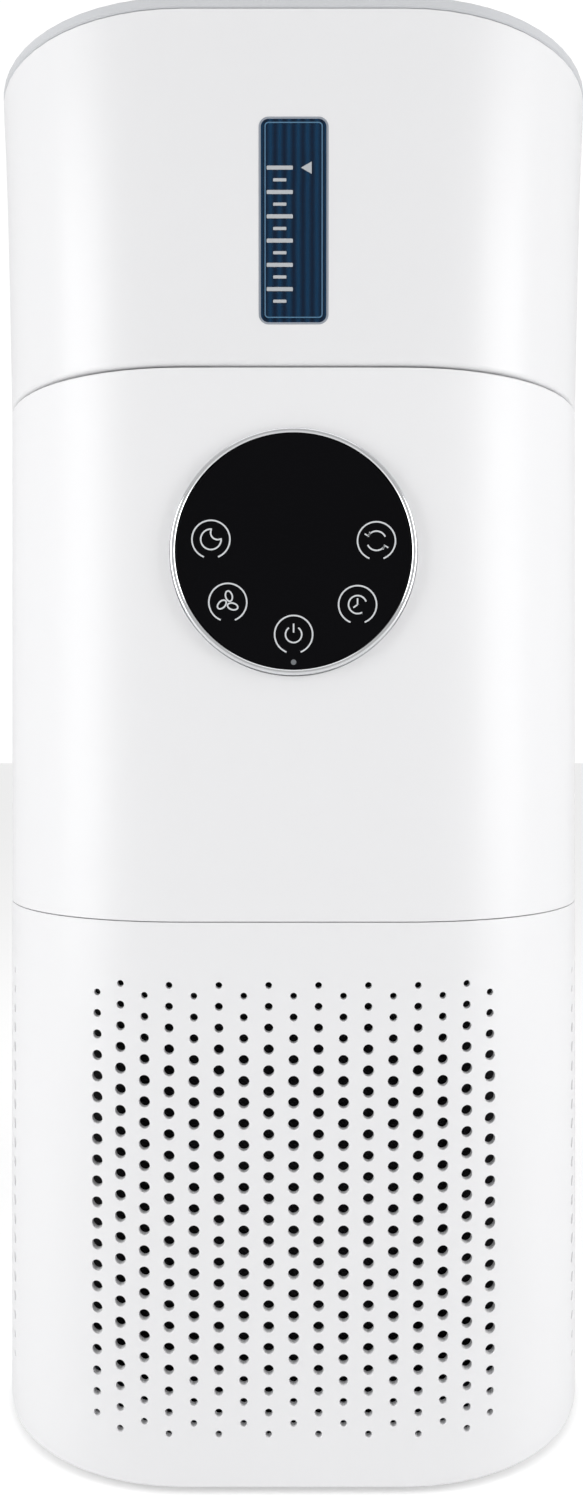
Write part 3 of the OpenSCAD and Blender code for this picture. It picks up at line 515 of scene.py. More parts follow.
WHITE = plastic("white plastic", (0.82, 0.82, 0.83))
TANK_WHITE = plastic("tank plastic", (0.8, 0.8, 0.81), 0.26, 0.36)
INNER_WHITE = plastic("inner plastic", (0.62, 0.62, 0.62), 0.4, 0.55)
RIM_GREY = plastic("grey plastic", (0.59, 0.6, 0.62), 0.3, 0.4)
BLACK_PLASTIC = plastic("black plastic", (0.015, 0.015, 0.017), 0.35, 0.5)
FAN_PLASTIC = plastic("fan plastic", (0.06, 0.064, 0.07), 0.35, 0.5)
FRAME_BLUE = plastic("filter frame", (0.1, 0.12, 0.16), 0.4, 0.55)
WICK_BLUE = plastic("wick frame", (0.35, 0.45, 0.55), 0.3, 0.45)
MARK_INK = plastic("printed marks", (0.62, 0.64, 0.66), 0.4, 0.55)
LEVEL_INK = plastic("level marks", (0.46, 0.48, 0.5), 0.4, 0.55)
SEAL_GREY = plastic("window seal", (0.3, 0.33, 0.38), 0.3, 0.4)
# Lighter blue of the window's border line: a painted highlight on the raised edge
BORDER_HIGHLIGHT = plastic("window border highlight", (0.09, 0.2, 0.32), 0.15, 0.25)
SENSOR_GREY = plastic("sensor", (0.16, 0.17, 0.18), 0.3, 0.4)
WIRE_COVER = plastic("wire cover", (0.03, 0.03, 0.035), 0.4, 0.5)
PARTS_BLACK = plastic("electronic parts", (0.03, 0.032, 0.036), 0.3, 0.5)
RUBBER = granular("rubber", (0.035, 0.035, 0.038), (0.02, 0.02, 0.022), 900, 0.05 * MM)
GASKET_GREY = granular("gasket", (0.42, 0.45, 0.48), (0.34, 0.37, 0.4), 700, 0.03 * MM)
FOAM = granular("foam", (0.06, 0.06, 0.065), (0.015, 0.015, 0.018), 420, 0.3 * MM)
CARBON = granular("carbon", (0.03, 0.03, 0.032), (0.006, 0.006, 0.007), 520, 0.4 * MM)
CHROME = brushed("polished ring", (0.86, 0.87, 0.89), 0.06, 0.16, (1, 1, 1))
STEEL = brushed("steel", (0.6, 0.6, 0.62), 0.25, 0.4, (1, 1, 0.1))
DARK_STEEL = brushed("dark steel", (0.2, 0.2, 0.22), 0.35, 0.5, (0.1, 1, 1))
BRASS = brushed("brass", (0.75, 0.55, 0.25), 0.25, 0.4, (1, 0.1, 1))
COPPER = wound("windings", (0.72, 0.3, 0.12))
BOARD = board("board", (0.01, 0.09, 0.04))
PLEATS = paper("filter paper", (0.72, 0.72, 0.7), (0.55, 0.55, 0.54), 240)
WICK_PAPER = paper("wick paper", (0.74, 0.86, 0.96), (0.4, 0.6, 0.8), 200)
MESH = weave("filter mesh", (0.05, 0.045, 0.055), (0.008, 0.007, 0.01), 420)
BLACK_GLASS = gloss_black("black glass")
WINDOW_BLUE = tinted("window")

# ---------- lower section ----------

BOTTOM_EDGE = arc(CORNER_R, INTAKE_LOW + EDGE_R, EDGE_R, -90, 0)
TOP_EDGE = arc(CORNER_R, INTAKE_HIGH - SEAM_EDGE, SEAM_EDGE, 0, 90)
LEVELS = [HOLE_FIRST + HOLE_RISE * (j - 1) / 2 for j in range(2 * HOLE_ROWS + 1)]
OUTER_WALL = BOTTOM_EDGE + [(CORNER_R, z) for z in LEVELS] + TOP_EDGE
INNER_LEVELS = [INTAKE_LOW] + LEVELS + [INTAKE_HIGH]


def hole_list(column):
    """Centre height, cell index and radius of each hole in a column."""
    short = 1 if column % 2 == 0 else 0
    count = HOLE_ROWS - short
    holes = []
    for k in range(count):
        size = min(HOLE_FULL, HOLE_END + HOLE_GRADE * min(k, count - 1 - k))
        holes.append((HOLE_FIRST + (k + short / 2) * HOLE_RISE, 2 * k + short, size / 2))
    return holes


def surface_point(side, along, z, radius, sink=0.0):
    past = max(abs(along) - CORE, 0)
    return (*turn(side, along, CORE + math.sqrt(radius**2 - past**2) - sink), z)


def hole_ring(side, along, z, size, radius, sink=0.0):
    ring = []
    for i in range(HOLE_SIDES):
        a = 2 * math.pi * (i + 0.5) / HOLE_SIDES
        ring.append(surface_point(side, along + size * math.cos(a), z + size * math.sin(a), radius, sink))
    return ring


def frame_hole(skin, cell, ring):
    """Joins the six points round a cell to the ring of a hole."""
    corner = math.atan2(HOLE_RISE, HOLE_PITCH)
    bearings = [0, corner, math.pi - corner, math.pi, math.pi + corner, 2 * math.pi - corner]
    owners = []
    for i in range(HOLE_SIDES):
        a = 2 * math.pi * (i + 0.5) / HOLE_SIDES
        gaps = [abs((a - b + math.pi) % (2 * math.pi) - math.pi) for b in bearings]
        owners.append(gaps.index(min(gaps)))
    for i in range(HOLE_SIDES):
        j = (i + 1) % HOLE_SIDES
        skin.face(ring[i], ring[j], cell[owners[j]], cell[owners[i]])


def hole_strip(skin, side, column, left, right):
    """The wall between two upright lines of a side, with that column's holes through it."""
    along = column * HOLE_PITCH
    middle = max(left, min(right, along))
    holes = {cell: (z, size) for z, cell, size in hole_list(column)}
    for radius in (CORNER_R, CORNER_R - WALL):
        for cell in holes:
            z, size = holes[cell]
            low, mid, high = LEVELS[cell : cell + 3]
            corners = [(right, mid), (right, high), (left, high), (left, mid), (left, low), (right, low)]
            points = [surface_point(side, a, h, radius) for a, h in corners]
            lip = HOLE_LIP if radius == CORNER_R else 0
            frame_hole(skin, points, hole_ring(side, middle, z, size + lip, radius))
        if column % 2 == 0:
            for j in (0, len(LEVELS) - 2):
                low, high = LEVELS[j], LEVELS[j + 1]
                corners = [(left, low), (right, low), (right, high), (left, high)]
                skin.face(*[surface_point(side, a, h, radius) for a, h in corners])
    for z, size in holes.values():
        skin.rings([
            hole_ring(side, middle, z, size + HOLE_LIP, CORNER_R),
            hole_ring(side, middle, z, size, CORNER_R, HOLE_LIP),
            hole_ring(side, middle, z, size, CORNER_R - WALL),
        ])


def plain_strip(skin, left, right, with_middle=True):
    """The wall between two upright lines. Its middle is left out where holes fill it."""
    inner_wall = [(CORNER_R - WALL, z) for z in INNER_LEVELS]
    for profile, start in ((OUTER_WALL, len(BOTTOM_EDGE)), (inner_wall, 1)):
        for i in range(len(profile) - 1):
            in_middle = start <= i < start + len(LEVELS) - 1
            if in_middle and not with_middle:
                continue
            (r0, z0), (r1, z1) = profile[i], profile[i + 1]
            skin.face((*left(r0), z0), (*right(r0), z0), (*right(r1), z1), (*left(r1), z1))
    for radius, z in (OUTER_WALL[0], OUTER_WALL[-1]):
        inner = CORNER_R - WALL
        skin.face((*left(radius), z), (*right(radius), z), (*right(inner), z), (*left(inner), z))


def wall_end(skin, line):
    """Closes the wall's thickness at its first or last line."""
    inner = [(*line(CORNER_R - WALL), z) for z in INNER_LEVELS]
    outer = [(*line(r), z) for r, z in OUTER_WALL]
    first = len(BOTTOM_EDGE)
    for j in range(len(LEVELS) - 1):
        skin.face(outer[first + j], outer[first + j + 1], inner[j + 2], inner[j + 1])
    skin.face(*outer[: first + 1], inner[1], inner[0])
    skin.face(*outer[first + len(LEVELS) - 1 :], inner[-1], inner[-2])


def perforated(name, runs, end_gap=0.0):
    """A perforated wall that follows runs of (side, first column, last column).
    Plain corners join the runs, and end_gap is left at the wall's two ends."""
    skin = Skin()
    reach = (HOLE_COLUMNS + 0.5) * HOLE_PITCH
    start_angle = math.asin((reach - CORE) / CORNER_R)
    previous = None
    ends = []
    for side, first, last in runs:
        bounds = [(c - 0.5) * HOLE_PITCH for c in range(first, last + 2)]
        if first > -HOLE_COLUMNS:
            bounds[0] += end_gap
        if last < HOLE_COLUMNS:
            bounds[-1] -= end_gap
        lines = [side_line(side, b) for b in bounds]
        if previous is not None:
            sweep = math.pi / 2 - 2 * start_angle
            angles = [start_angle + sweep * i / CORNER_STRIPS for i in range(1, CORNER_STRIPS)]
            corner = [corner_line(previous, angle) for angle in angles]
            run = [ends[-1]] + corner + [lines[0]]
            for left, right in zip(run, run[1:]):
                plain_strip(skin, left, right)
        for i, column in enumerate(range(first, last + 1)):
            plain_strip(skin, lines[i], lines[i + 1], with_middle=False)
            hole_strip(skin, side, column, bounds[i], bounds[i + 1])
        ends += [lines[0], lines[-1]]
        previous = side
    wall_end(skin, ends[0])
    wall_end(skin, ends[-1])
    return raw_object(name, skin)


FRONT_LAST = int(SPLIT_COLUMN)
front_runs = [
    (3, -FRONT_LAST, HOLE_COLUMNS),
    (0, -HOLE_COLUMNS, HOLE_COLUMNS),
    (1, -HOLE_COLUMNS, FRONT_LAST),
]
rear_runs = [
    (1, FRONT_LAST + 1, HOLE_COLUMNS),
    (2, -HOLE_COLUMNS, HOLE_COLUMNS),
    (3, -HOLE_COLUMNS, -FRONT_LAST - 1),
]
front = perforated("front_cover_skin", front_runs, FIT)
rear = perforated("rear_shell_skin", rear_runs)
piece(front, "front_cover", WHITE, "shell", "front_cover")
piece(rear, "base", WHITE, "shell", "rear_shell")

# ---------- middle section ----------


def mid_profile():
    profile = arc(CORNER_R, MID_LOW + SEAM_EDGE, SEAM_EDGE, -90, 0)
    profile += arc(CORNER_R, MID_HIGH - EDGE_R, EDGE_R, 0, 90)
    return profile + [(CORNER_R - WALL, MID_HIGH), (CORNER_R - WALL, MID_LOW)]


def half_wall(name, lines):
    skin = Skin()
    profile = mid_profile()
    skin.rings([ring_at(lines, r, z) for r, z in profile], closed=False, looped=True)
    for line in (lines[0], lines[-1]):
        skin.fill([(*line(r), z) for r, z in profile])
    return raw_object(name, skin)


def prism_tool(profile, y_from, y_to):
    """A straight tool along Y from a closed outline of (x, z)."""
    skin = Skin()
    near = [(x, y_from, z) for x, z in profile]
    far = [(x, y_to, z) for x, z in profile]
    skin.rings([near, far])
    skin.fill(near)
    skin.fill(far)
    return raw_object("tool", skin)


def round_outline(radius, z, sides=128):
    turns = [2 * math.pi * i / sides for i in range(sides)]
    return [(radius * math.cos(a), z + radius * math.sin(a)) for a in turns]


def slot_outline(width, height, radius, x=0.0, z=0.0, steps=8):
    """A rounded rectangle of (x, z) points."""
    points = []
    for k, (sx, sz) in enumerate([(1, 1), (-1, 1), (-1, -1), (1, -1)]):
        for i in range(steps + 1):
            a = math.pi / 2 * (k + i / steps)
            cx, cz = sx * (width / 2 - radius), sz * (height / 2 - radius)
            points.append((x + cx + radius * math.cos(a), z + cz + radius * math.sin(a)))
    return points


SPLIT_Y = SPLIT_COLUMN * HOLE_PITCH
front_lines = side_lines(3, -SPLIT_Y + FIT / 2, CORE, 6) + corner_lines(3)
front_lines += side_lines(0, -CORE, CORE, 6) + corner_lines(0)
front_lines += side_lines(1, -CORE, SPLIT_Y - FIT / 2, 6)
rear_lines = side_lines(1, SPLIT_Y, CORE, 2) + corner_lines(1)
rear_lines += side_lines(2, -CORE, CORE, 6) + corner_lines(2)
rear_lines += side_lines(3, -CORE, -SPLIT_Y, 2)

mid_front = half_wall("mid_front_skin", front_lines)
apply_boolean(mid_front, prism_tool(round_outline(RING_R + FIT, DISPLAY_Z), -2 * HALF, 0), "DIFFERENCE")
mid_rear = half_wall("mid_rear_skin", rear_lines)
apply_boolean(mid_rear, prism_tool(round_outline(SOCKET_R, SOCKET_Z, 48), 0, 2 * HALF), "DIFFERENCE")
for k in range(-SENSOR_SLOTS, SENSOR_SLOTS + 1):
    sensor_slot = slot_outline(SLOT_W, SLOT_H, SLOT_R, SLOT_PITCH * k, SENSOR_Z)
    apply_boolean(mid_rear, prism_tool(sensor_slot, 0, 2 * HALF), "DIFFERENCE")
piece(mid_front, "base", WHITE, "shell", "mid_front")
piece(mid_rear, "base", WHITE, "shell", "mid_rear")

# Seat behind the display ring, which closes the space round it
seat = Skin()
seat_back = RING_BACK + FLANGE_T
seat_in = RING_R + FIT
seat_face = HALF - WALL
seat_profile = [(seat_in, seat_face), (seat_in, seat_back), (SEAT_R, seat_back), (SEAT_R, seat_face)]
lathe(seat, seat_profile, facing_front)
piece(raw_object("display_seat", seat), "base", INNER_WHITE, "inner_abs")

# ---------- display ----------

ring = Skin()
ring_in = RING_R - RING_W
crown = [(RING_R, RING_FACE - CROWN_LOW)]
for i in range(CROWN_STEPS + 1):
    a = math.pi * i / CROWN_STEPS
    crown_r = RING_R - RING_W / 2 + RING_W / 2 * math.cos(a)
    crown.append((crown_r, RING_FACE - CROWN_H + CROWN_H * math.sin(a)))
crown.append((ring_in, RING_FACE - CROWN_LOW))
base_of_ring = [(ring_in, RING_BACK), (SEAT_R, RING_BACK), (SEAT_R, RING_BACK + FLANGE_T),
                (RING_R, RING_BACK + FLANGE_T)]
lathe(ring, base_of_ring + crown, facing_front, DISPLAY_SIDES)
piece(raw_object("display_ring_turned", ring), "base", CHROME, "ring_metal", "display_ring", angle=40)

glass = Skin()
glass_profile = [(GLASS_R, GLASS_BACK)]
glass_profile += arc(GLASS_R, GLASS_FACE - GLASS_EDGE, GLASS_EDGE, 0, 90, 4)
glass_profile += [(GLASS_R * k / 4, GLASS_FACE) for k in (3, 2, 1)]
glass_rings = lathe(glass, glass_profile, facing_front, DISPLAY_SIDES, looped=False)
glass.fill(glass_rings[0])
glass.fill(glass_rings[-1])
piece(raw_object("display_glass_disc", glass), "base", BLACK_GLASS, "black_glass", "display_glass")


def ribbon(skin, points, width, place, thick, closed=False):
    """A stroke of even width along flat points, raised by its thickness."""
    count = len(points)
    left, right = [], []
    for i, (x, y) in enumerate(points):
        before = points[i - 1] if closed or i > 0 else points[i]
        after = points[(i + 1) % count] if closed or i < count - 1 else points[i]
        dx, dy = after[0] - before[0], after[1] - before[1]
        length = math.hypot(dx, dy)
        nx, ny = -dy / length * width / 2, dx / length * width / 2
        left.append((x + nx, y + ny))
        right.append((x - nx, y - ny))
    corners = []
    for side, lift in ((left, 0), (left, thick), (right, thick), (right, 0)):
        corners.append([place(x, y, lift) for x, y in side])
    skin.rings(corners, closed=closed, looped=True)
    if not closed:
        skin.fill([side[0] for side in corners])
        skin.fill([side[-1] for side in corners])


def arc_points(radius, start, end, x=0.0, y=0.0, steps=24):
    turns = [math.radians(start + (end - start) * i / steps) for i in range(steps + 1)]
    return [(x + radius * math.cos(a), y + radius * math.sin(a)) for a in turns]


def moon():
    """A disc with a round bite out of it. The angles are where the two circles meet."""
    outer = arc_points(3.4, 86.1, 363.9, steps=30)
    inner = arc_points(2.3, -58.8, -211.2, 2.2, 2.2, steps=20)
    return [(outer + inner[1:-1], True)]


def petal(bearing):
    """One leaning oval blade of the fan mark."""
    tilt = bearing + math.radians(25)
    middle_x = 2.1 * math.cos(bearing)
    middle_y = 2.1 * math.sin(bearing)
    outline = []
    for x, y in arc_points(1, 0, 342, steps=19):
        along, across = 1.75 * x, 1.1 * y
        outline.append((middle_x + along * math.cos(tilt) - across * math.sin(tilt),
                        middle_y + along * math.sin(tilt) + across * math.cos(tilt)))
    return outline


def fan_blades():
    return [(petal(math.radians(80 + 120 * k)), True) for k in range(3)]


def power():
    return [(arc_points(2.7, -235, 55), False), ([(0, 0.6), (0, 3.6)], False)]


def clock():
    return [(arc_points(3, 20, 300), False), ([(0, 0), (0, 2.1)], False), ([(0, 0), (-1.4, -1)], False)]


def cycle():
    """Two curved arrows that chase each other."""
    strokes = []
    arrow_head = [(-3.9, 2.3), (-2.6, 1.5), (-2.1, 2.9)]
    for flip in (1, -1):
        for stroke in (arc_points(3.2, 25, 150), arrow_head):
            strokes.append(([(flip * x, flip * y) for x, y in stroke], False))
    return strokes


def on_glass(bearing):
    """Places points of an icon that sits at a bearing from the middle of the glass."""
    icon_x = ICON_ORBIT * math.cos(math.radians(bearing))
    icon_z = ICON_ORBIT * math.sin(math.radians(bearing))
    return lambda x, y, lift: (icon_x + x, -GLASS_FACE - lift, DISPLAY_Z + icon_z + y)


# Strokes are in millimetres from the icon's middle, each with whether it is closed
icons = Skin()
glyphs = [(172, moon()), (218, fan_blades()), (270, power()), (320, clock()), (7, cycle())]
circle = [(x * ICON_R, y * ICON_R) for x, y in arc_points(1, -68, 248, steps=48)]
for bearing, strokes in glyphs:
    place = on_glass(bearing)
    ribbon(icons, circle, ICON_LINE, place, ICON_T)
    for points, closed in strokes:
        ribbon(icons, [(x * MM, y * MM) for x, y in points], ICON_LINE, place, ICON_T, closed)
piece(raw_object("touch_icon_strokes", icons), "base", MARK_INK, "marks", "touch_icons")

# ---------- tank ----------

plan_lines = whole_plan()
TANK_STEPS = 18
TANK_LIP = 0.4 * MM


def tank_skin():
    skin = Skin()
    low_edge = TANK_LOW + TANK_EDGE_R
    rings = [ring_at(plan_lines, r, z) for r, z in arc(CORNER_R, low_edge, TANK_EDGE_R, -90, 0, 7)]
    top = TANK_HIGH - TANK_LIP
    for k in range(1, TANK_STEPS + 1):
        z = low_edge + (top - low_edge) * k / TANK_STEPS
        rings.append(ring_at(plan_lines, CORNER_R + flare(z), z))
    lip = CORNER_R + flare(TANK_HIGH)
    rings.append(ring_at(plan_lines, lip - TANK_LIP, TANK_HIGH))
    rings.append(ring_at(plan_lines, lip - WALL, TANK_HIGH))
    for k in range(5, 0, -1):
        z = BASIN_Z + (TANK_HIGH - BASIN_Z) * k / 6
        rings.append(ring_at(plan_lines, CORNER_R + flare(z) - WALL, z))
    rings.append(ring_at(plan_lines, CORNER_R + flare(BASIN_Z) - WALL, BASIN_Z))
    bore = CHIMNEY_R - WALL
    low = TANK_LOW + 1.7 * MM
    chimney = [
        (CHIMNEY_R, BASIN_Z),
        (CHIMNEY_R, CHIMNEY_TOP - EDGE_R),
        (CHIMNEY_R - EDGE_R, CHIMNEY_TOP),
        (bore + EDGE_R, CHIMNEY_TOP),
        (bore, CHIMNEY_TOP - EDGE_R),
        (bore, low),
        (CHIMNEY_R, low),
        (CHIMNEY_R, BASIN_Z - FLOOR_T),
    ]
    rings += [circle_at(plan_lines, r, z) for r, z in chimney]
    rings.append(ring_at(plan_lines, CORNER_R - WALL, BASIN_Z - FLOOR_T))
    rings.append(ring_at(plan_lines, CORNER_R - WALL, TANK_LOW))
    skin.rings(rings, looped=True)
    return raw_object("tank_body", skin)


tank = tank_skin()
window = slot_outline(WINDOW_W, WINDOW_H, WINDOW_R, 0, WINDOW_Z)
apply_boolean(tank, prism_tool(window, -1.2 * HALF, -0.8 * HALF), "DIFFERENCE")
piece(tank, "tank", TANK_WHITE, "shell", "tank")


def front_slab(out, depth, half, flute=0.0):
    """Part of the tank's front wall, out and depth being measured outwards and inwards from its skin.
    Its back can have upright flutes, at the pitch of the wick's pleats."""
    skin = Skin()
    low = WINDOW_Z - WINDOW_H
    high = min(WINDOW_Z + WINDOW_H, TANK_HIGH)
    heights = [low + (high - low) * k / SLAB_STEPS for k in range(SLAB_STEPS + 1)]
    across = [-half + 2 * half * i / FLUTE_STEPS for i in range(FLUTE_STEPS + 1)]
    rings = []
    for z in heights:
        face = HALF + flare(z)
        back = []
        for x in reversed(across):
            hollow = flute * (1 + math.cos(2 * math.pi * x / PLEAT_PITCH)) / 2
            back.append((x, -face + depth - hollow, z))
        rings.append([(-half, -face - out, z), (half, -face - out, z)] + back)
    skin.rings(rings)
    skin.fill(rings[0])
    skin.fill(rings[-1])
    return raw_object("slab", skin)


def window_tool(inset):
    """A tool with the window's outline, a little inside it."""
    outline = slot_outline(WINDOW_W - 2 * inset, WINDOW_H - 2 * inset, WINDOW_R - inset, 0, WINDOW_Z)
    return prism_tool(outline, -1.2 * HALF, -0.8 * HALF)


def rounded(obj, width):
    """Rounds the edges of a piece that was cut to shape."""
    bevel = obj.modifiers.new("rounded edges", "BEVEL")
    bevel.width = width
    bevel.segments = 2
    bevel.limit_method = "ANGLE"
    bevel.angle_limit = math.radians(50)


gasket = front_slab(0, WALL, WINDOW_W)
apply_boolean(gasket, window_tool(SEAL_GAP), "INTERSECT")
apply_boolean(gasket, window_tool(GASKET_W), "DIFFERENCE")
piece(gasket, "tank", SEAL_GREY, "gasket", "window_gasket")

lens = front_slab(0, WALL, WINDOW_W, FLUTE_DEPTH)
apply_boolean(lens, window_tool(GASKET_W + SEAL_GAP), "INTERSECT")
raised = front_slab(LENS_RAISE, RAISED_DEPTH, WINDOW_W)
apply_boolean(raised, window_tool(LENS_BORDER), "INTERSECT")
apply_boolean(lens, raised, "UNION")
rounded(lens, LENS_EDGE)
piece(lens, "tank", WINDOW_BLUE, "window", "window_lens", angle=40)

# Fine line that edges the raised middle of the window, coloured lighter than the lens as a painted
# highlight on the raised edge
border = front_slab(LENS_RAISE + BORDER_T, -LENS_RAISE, WINDOW_W)
apply_boolean(border, window_tool(LENS_BORDER + BORDER_T), "INTERSECT")
apply_boolean(border, window_tool(LENS_BORDER + BORDER_T + BORDER_W), "DIFFERENCE")
piece(border, "tank", BORDER_HIGHLIGHT, "window", angle=40)


def mark_block(skin, middle, z, length, height):
    """One raised mark with rounded corners, lying on the window and drawn in a little at its face."""
    outline = slot_outline(length, height, height / 5, middle, z, 3)
    rings = []
    for lift, shrink in ((0, 1), (0.1 * MM, 1), (MARK_T, 0.96)):
        ring_points = []
        for x, h in outline:
            face = HALF + flare(h) + LENS_RAISE + lift
            ring_points.append(((x - middle) * shrink + middle, -face, h))
        rings.append(ring_points)
    skin.rings(rings)
    skin.fill(rings[0])
    skin.fill(rings[-1])


marks = Skin()
for k in range(MARK_COUNT):
    length, height = LONG_MARK if k % 2 == 0 else SHORT_MARK
    mark_block(marks, MARK_X, TOP_MARK - k * MARK_PITCH, length, height)
pointer = [
    (POINTER_X, TOP_MARK),
    (POINTER_X + POINTER_W, TOP_MARK + POINTER_H / 2),
    (POINTER_X + POINTER_W, TOP_MARK - POINTER_H / 2),
]
pointer_rings = []
for lift in (LENS_RAISE, LENS_RAISE + MARK_T):
    pointer_rings.append([(x, -HALF - flare(z) - lift, z) for x, z in pointer])
marks.rings(pointer_rings)
marks.fill(pointer_rings[0])
marks.fill(pointer_rings[1])
piece(raw_object("level_mark_bars", marks), "tank", LEVEL_INK, "marks", "level_marks")

# ---------- top cover ----------


def cover_skin():
    skin = Skin()
    out = CORNER_R + flare(TANK_HIGH)
    hidden = CORNER_R + flare(SKIRT_LOW) - WALL - 0.5 * MM
    plate_low = TANK_HIGH - 2 * MM
    rings = [ring_at(plan_lines, out - 0.5 * MM, RIM_LOW)]
    rings.append(ring_at(plan_lines, out, RIM_LOW + 0.5 * MM))
    rings += [ring_at(plan_lines, r, z) for r, z in arc(out, TOP - EDGE_R, EDGE_R, 0, 90)]
    seat = GRILLE_R + FIT
    rings.append(circle_at(plan_lines, seat + EDGE_R, TOP))
    rings.append(circle_at(plan_lines, seat, TOP - EDGE_R))
    rings.append(circle_at(plan_lines, seat, GRILLE[0].z))
    rings.append(circle_at(plan_lines, LEDGE_R, GRILLE[0].z))
    rings.append(circle_at(plan_lines, LEDGE_R, plate_low))
    rings.append(ring_at(plan_lines, CORNER_R - WALL - 2 * MM, plate_low))
    rings.append(ring_at(plan_lines, CORNER_R - WALL - 2 * MM, SKIRT_LOW))
    rings.append(ring_at(plan_lines, hidden, SKIRT_LOW))
    rings.append(ring_at(plan_lines, hidden, RIM_LOW))
    skin.rings(rings, looped=True)
    return raw_object("cover_rim_body", skin)


piece(cover_skin(), "lid", RIM_GREY, "grey_rim", "cover_rim")


def soft_bar(inner, outer, low, high, edge):
    """Profile of a bar between two radii, rounded above."""
    outer_edge = arc(outer, high - edge, edge, 0, 90, 4)
    inner_edge = arc(inner + 2 * edge, high - edge, edge, 90, 180, 4)
    return [(inner, low), (outer, low)] + outer_edge + inner_edge


grille = Skin()
grille_low, grille_high = GRILLE[0].z, GRILLE[1].z
rim_in = GRILLE_R - GRILLE_RIM
lathe(grille, soft_bar(rim_in, GRILLE_R, grille_low, grille_high, BAR_EDGE), upright)
bar_out = rim_in - BAR_STEP + 1 * MM
while bar_out >= HUB_R + BAR_W + 4 * MM:
    lathe(grille, soft_bar(bar_out - BAR_W, bar_out, grille_low, grille_high, BAR_EDGE), upright)
    bar_out -= BAR_STEP
hub = [
    (HUB_R, grille_low),
    (HUB_R, grille_high - BAR_EDGE),
    (HUB_R - BAR_EDGE, grille_high),
    (HUB_R - 3 * MM, grille_high),
    (HUB_R - 4 * MM, grille_high - 0.6 * MM),
    (8 * MM, grille_high - 0.9 * MM),
]
hub_rings = lathe(grille, hub, upright, looped=False)
grille.fill(hub_rings[0])
grille.fill(hub_rings[-1])
spoke_section = [
    (-BAR_W / 2, SPOKE_LOW),
    (BAR_W / 2, SPOKE_LOW),
    (BAR_W / 2, SPOKE_SHOULDER),
    (0.3 * BAR_W, SPOKE_TOP),
    (-0.3 * BAR_W, SPOKE_TOP),
    (-BAR_W / 2, SPOKE_SHOULDER),
]
for k in range(SPOKES):
    a = 2 * math.pi * k / SPOKES
    along = Vector((math.cos(a), math.sin(a), 0))
    across = Vector((-math.sin(a), math.cos(a), 0))
    ends = []
    for reach in (HUB_R - 1 * MM, GRILLE_R - 4 * MM):
        end = [along * reach + across * w + Vector((0, 0, grille_low + h)) for w, h in spoke_section]
        ends.append([tuple(point) for point in end])
    grille.rings(ends)
    grille.fill(ends[0])
    grille.fill(ends[1])
piece(raw_object("outlet_grille_bars", grille), "lid", WHITE, "shell", "outlet_grille", angle=40)

# ---------- feet ----------

feet_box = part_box("feet")
foot_r = 7.7 * MM
foot = [
    (foot_r, feet_box[1].z),
    (foot_r, 0.7 * MM),
    (foot_r - 0.2 * MM, 0.25 * MM),
    (foot_r - 0.7 * MM, 0),
    (foot_r - 2 * MM, 0),
    (foot_r - 2.3 * MM, 0.3 * MM),
]


def standing_at(centre_x, centre_y):
    return lambda x, y, height: (centre_x + x, centre_y + y, height)


feet = Skin()
for sx in (-1, 1):
    for sy in (-1, 1):
        spot = standing_at(sx * (feet_box[1].x - foot_r), sy * (feet_box[1].y - foot_r))
        foot_rings = lathe(feet, foot, spot, 48, looped=False)
        feet.fill(foot_rings[0])
        feet.fill(foot_rings[-1])
piece(raw_object("feet_pads", feet), "base", RUBBER, "rubber", "feet")

# ---------- carried-over CAD nodes ----------

# Each finish, its slot and the nodes that have it
FINISHES = [
    (INNER_WHITE, "inner_abs", [
        "base_plate", "posts", "fan_deck", "inlet_guard", "fan_housing", "diffuser", "outlet_duct",
        "air_sensor", "top_deck", "duct_guard", "float_guide",
    ]),
    (STEEL, "steel", [
        "base_screws", "deck_screws", "duct_screws", "top_screws", "motor_shaft", "motor_case", "bearings",
    ]),
    (FRAME_BLUE, "filter_frame", ["filter_bottom_cap", "filter_top_cap", "filter_tab"]),
    (MESH, "filter_mesh", ["filter_mesh"]),
    (PLEATS, "filter_media", ["filter_media"]),
    (CARBON, "carbon", ["filter_carbon"]),
    (FOAM, "foam", ["filter_seal"]),
    (FAN_PLASTIC, "fan_plastic", ["impeller"]),
    (BRASS, "steel", ["impeller_nut"]),
    (DARK_STEEL, "dark_steel", ["rotor_magnet", "stator_core", "float_magnet"]),
    (COPPER, "copper", ["stator_windings"]),
    (BLACK_PLASTIC, "black_plastic", ["display_tray", "power_socket", "level_switch"]),
    (BOARD, "pcb", ["display_board", "power_board"]),
    (SENSOR_GREY, "marks", ["light_sensor"]),
    (PARTS_BLACK, "electronics", ["board_parts"]),
    (WIRE_COVER, "wire", ["wiring"]),
    (GASKET_GREY, "gasket", ["deck_gasket"]),
    (WICK_BLUE, "wick_frame", ["water_float", "wick_base", "wick_cap"]),
    (WICK_PAPER, "wick", ["wick_media"]),
]
for finish, slot_name, names in FINISHES:
    for name in names:
        nodes[name].data.materials.clear()
        nodes[name].data.materials.append(finish)

# ---------- stage, light and camera ----------

# Glow of the floor and strength of the world that only the camera sees
FLOOR_LIFT = 0.36
WORLD_SEEN = 1.05
WORLD_LIGHT = 0.55
SIDE_POWER = 7.0
TOP_POWER = 1.4
FLOOR_REACH = 12.0
CAMERA_AWAY = 0.374
CAMERA_UP = 0.252
CAMERA_LENS = 26.9


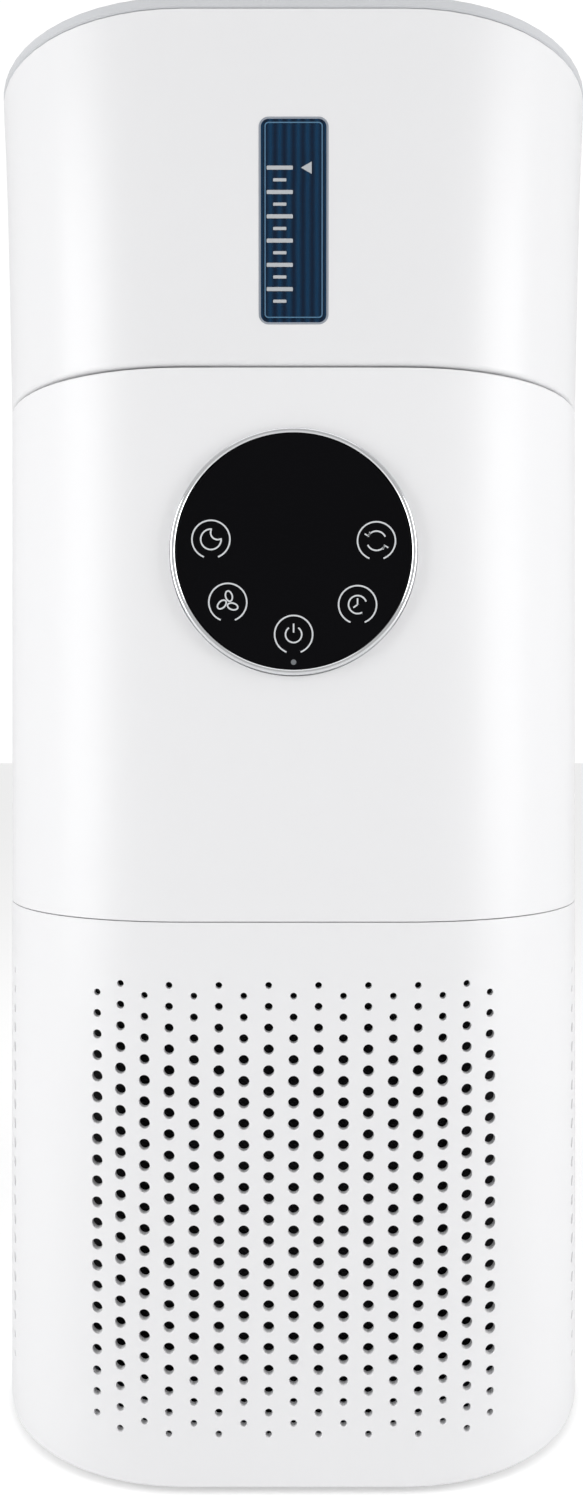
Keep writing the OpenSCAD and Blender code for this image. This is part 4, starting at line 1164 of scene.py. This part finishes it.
def floor_material():
    """Pale floor that keeps its shadow, lifted to white for the camera only."""
    made = Nodes("floor")
    made.colours(made.noise(4, 2), (0.86, 0.86, 0.86), (0.88, 0.88, 0.88))
    made.rough(made.noise(20, 2), 0.6, 0.7)
    path = made.add("ShaderNodeLightPath")
    lift = made.add("ShaderNodeMath", operation="MULTIPLY")
    lift.inputs[1].default_value = FLOOR_LIFT
    made.link(path.outputs["Is Camera Ray"], lift.inputs[0])
    made.link(lift.outputs["Value"], made.shader.inputs["Emission Strength"])
    return made.set(Emission_Color=(1, 1, 1, 1))


floor = Skin()
floor.fill([(sx * FLOOR_REACH, sy * FLOOR_REACH, 0) for sx, sy in ((-1, -1), (1, -1), (1, 1), (-1, 1))])
floor_obj = raw_object("floor", floor)
floor_obj.data.materials.append(floor_material())


def set_world():
    """White where the camera sees it, and a dimmer soft light on the object."""
    world = bpy.data.worlds.new("studio")
    scene.world = world
    world.use_nodes = True
    tree = world.node_tree
    background = tree.nodes["Background"]
    path = tree.nodes.new("ShaderNodeLightPath")
    choose = tree.nodes.new("ShaderNodeMapRange")
    choose.inputs["To Min"].default_value = WORLD_LIGHT
    choose.inputs["To Max"].default_value = WORLD_SEEN
    tree.links.new(path.outputs["Is Camera Ray"], choose.inputs["Value"])
    tree.links.new(choose.outputs["Result"], background.inputs["Strength"])
    background.inputs["Color"].default_value = (1, 1, 1, 1)


def area_light(name, place, target, width, height, power):
    data = bpy.data.lights.new(name, "AREA")
    data.shape = "RECTANGLE"
    data.size = width
    data.size_y = height
    data.energy = power
    obj = bpy.data.objects.new(name, data)
    obj.location = place
    obj.rotation_euler = (Vector(target) - Vector(place)).to_track_quat("-Z", "Y").to_euler()
    scene.collection.objects.link(obj)


set_world()
middle = (0, 0, TOP / 2)
for name, side in (("left softbox", -1), ("right softbox", 1)):
    area_light(name, (side * 0.95, -0.5, 0.35), middle, 0.5, 1.1, SIDE_POWER)
area_light("overhead softbox", (0, -0.3, 1.3), middle, 1.0, 0.6, TOP_POWER)

camera_data = bpy.data.cameras.new("camera")
camera_data.lens = CAMERA_LENS
camera_data.sensor_width = 36
camera_data.shift_x = -0.0014
camera_data.shift_y = -0.0063
camera = bpy.data.objects.new("camera", camera_data)
camera.location = (0, -HALF - CAMERA_AWAY, CAMERA_UP)
camera.rotation_euler = (math.pi / 2, 0, 0)
scene.collection.objects.link(camera)
scene.camera = camera
scene.view_settings.view_transform = "Standard"
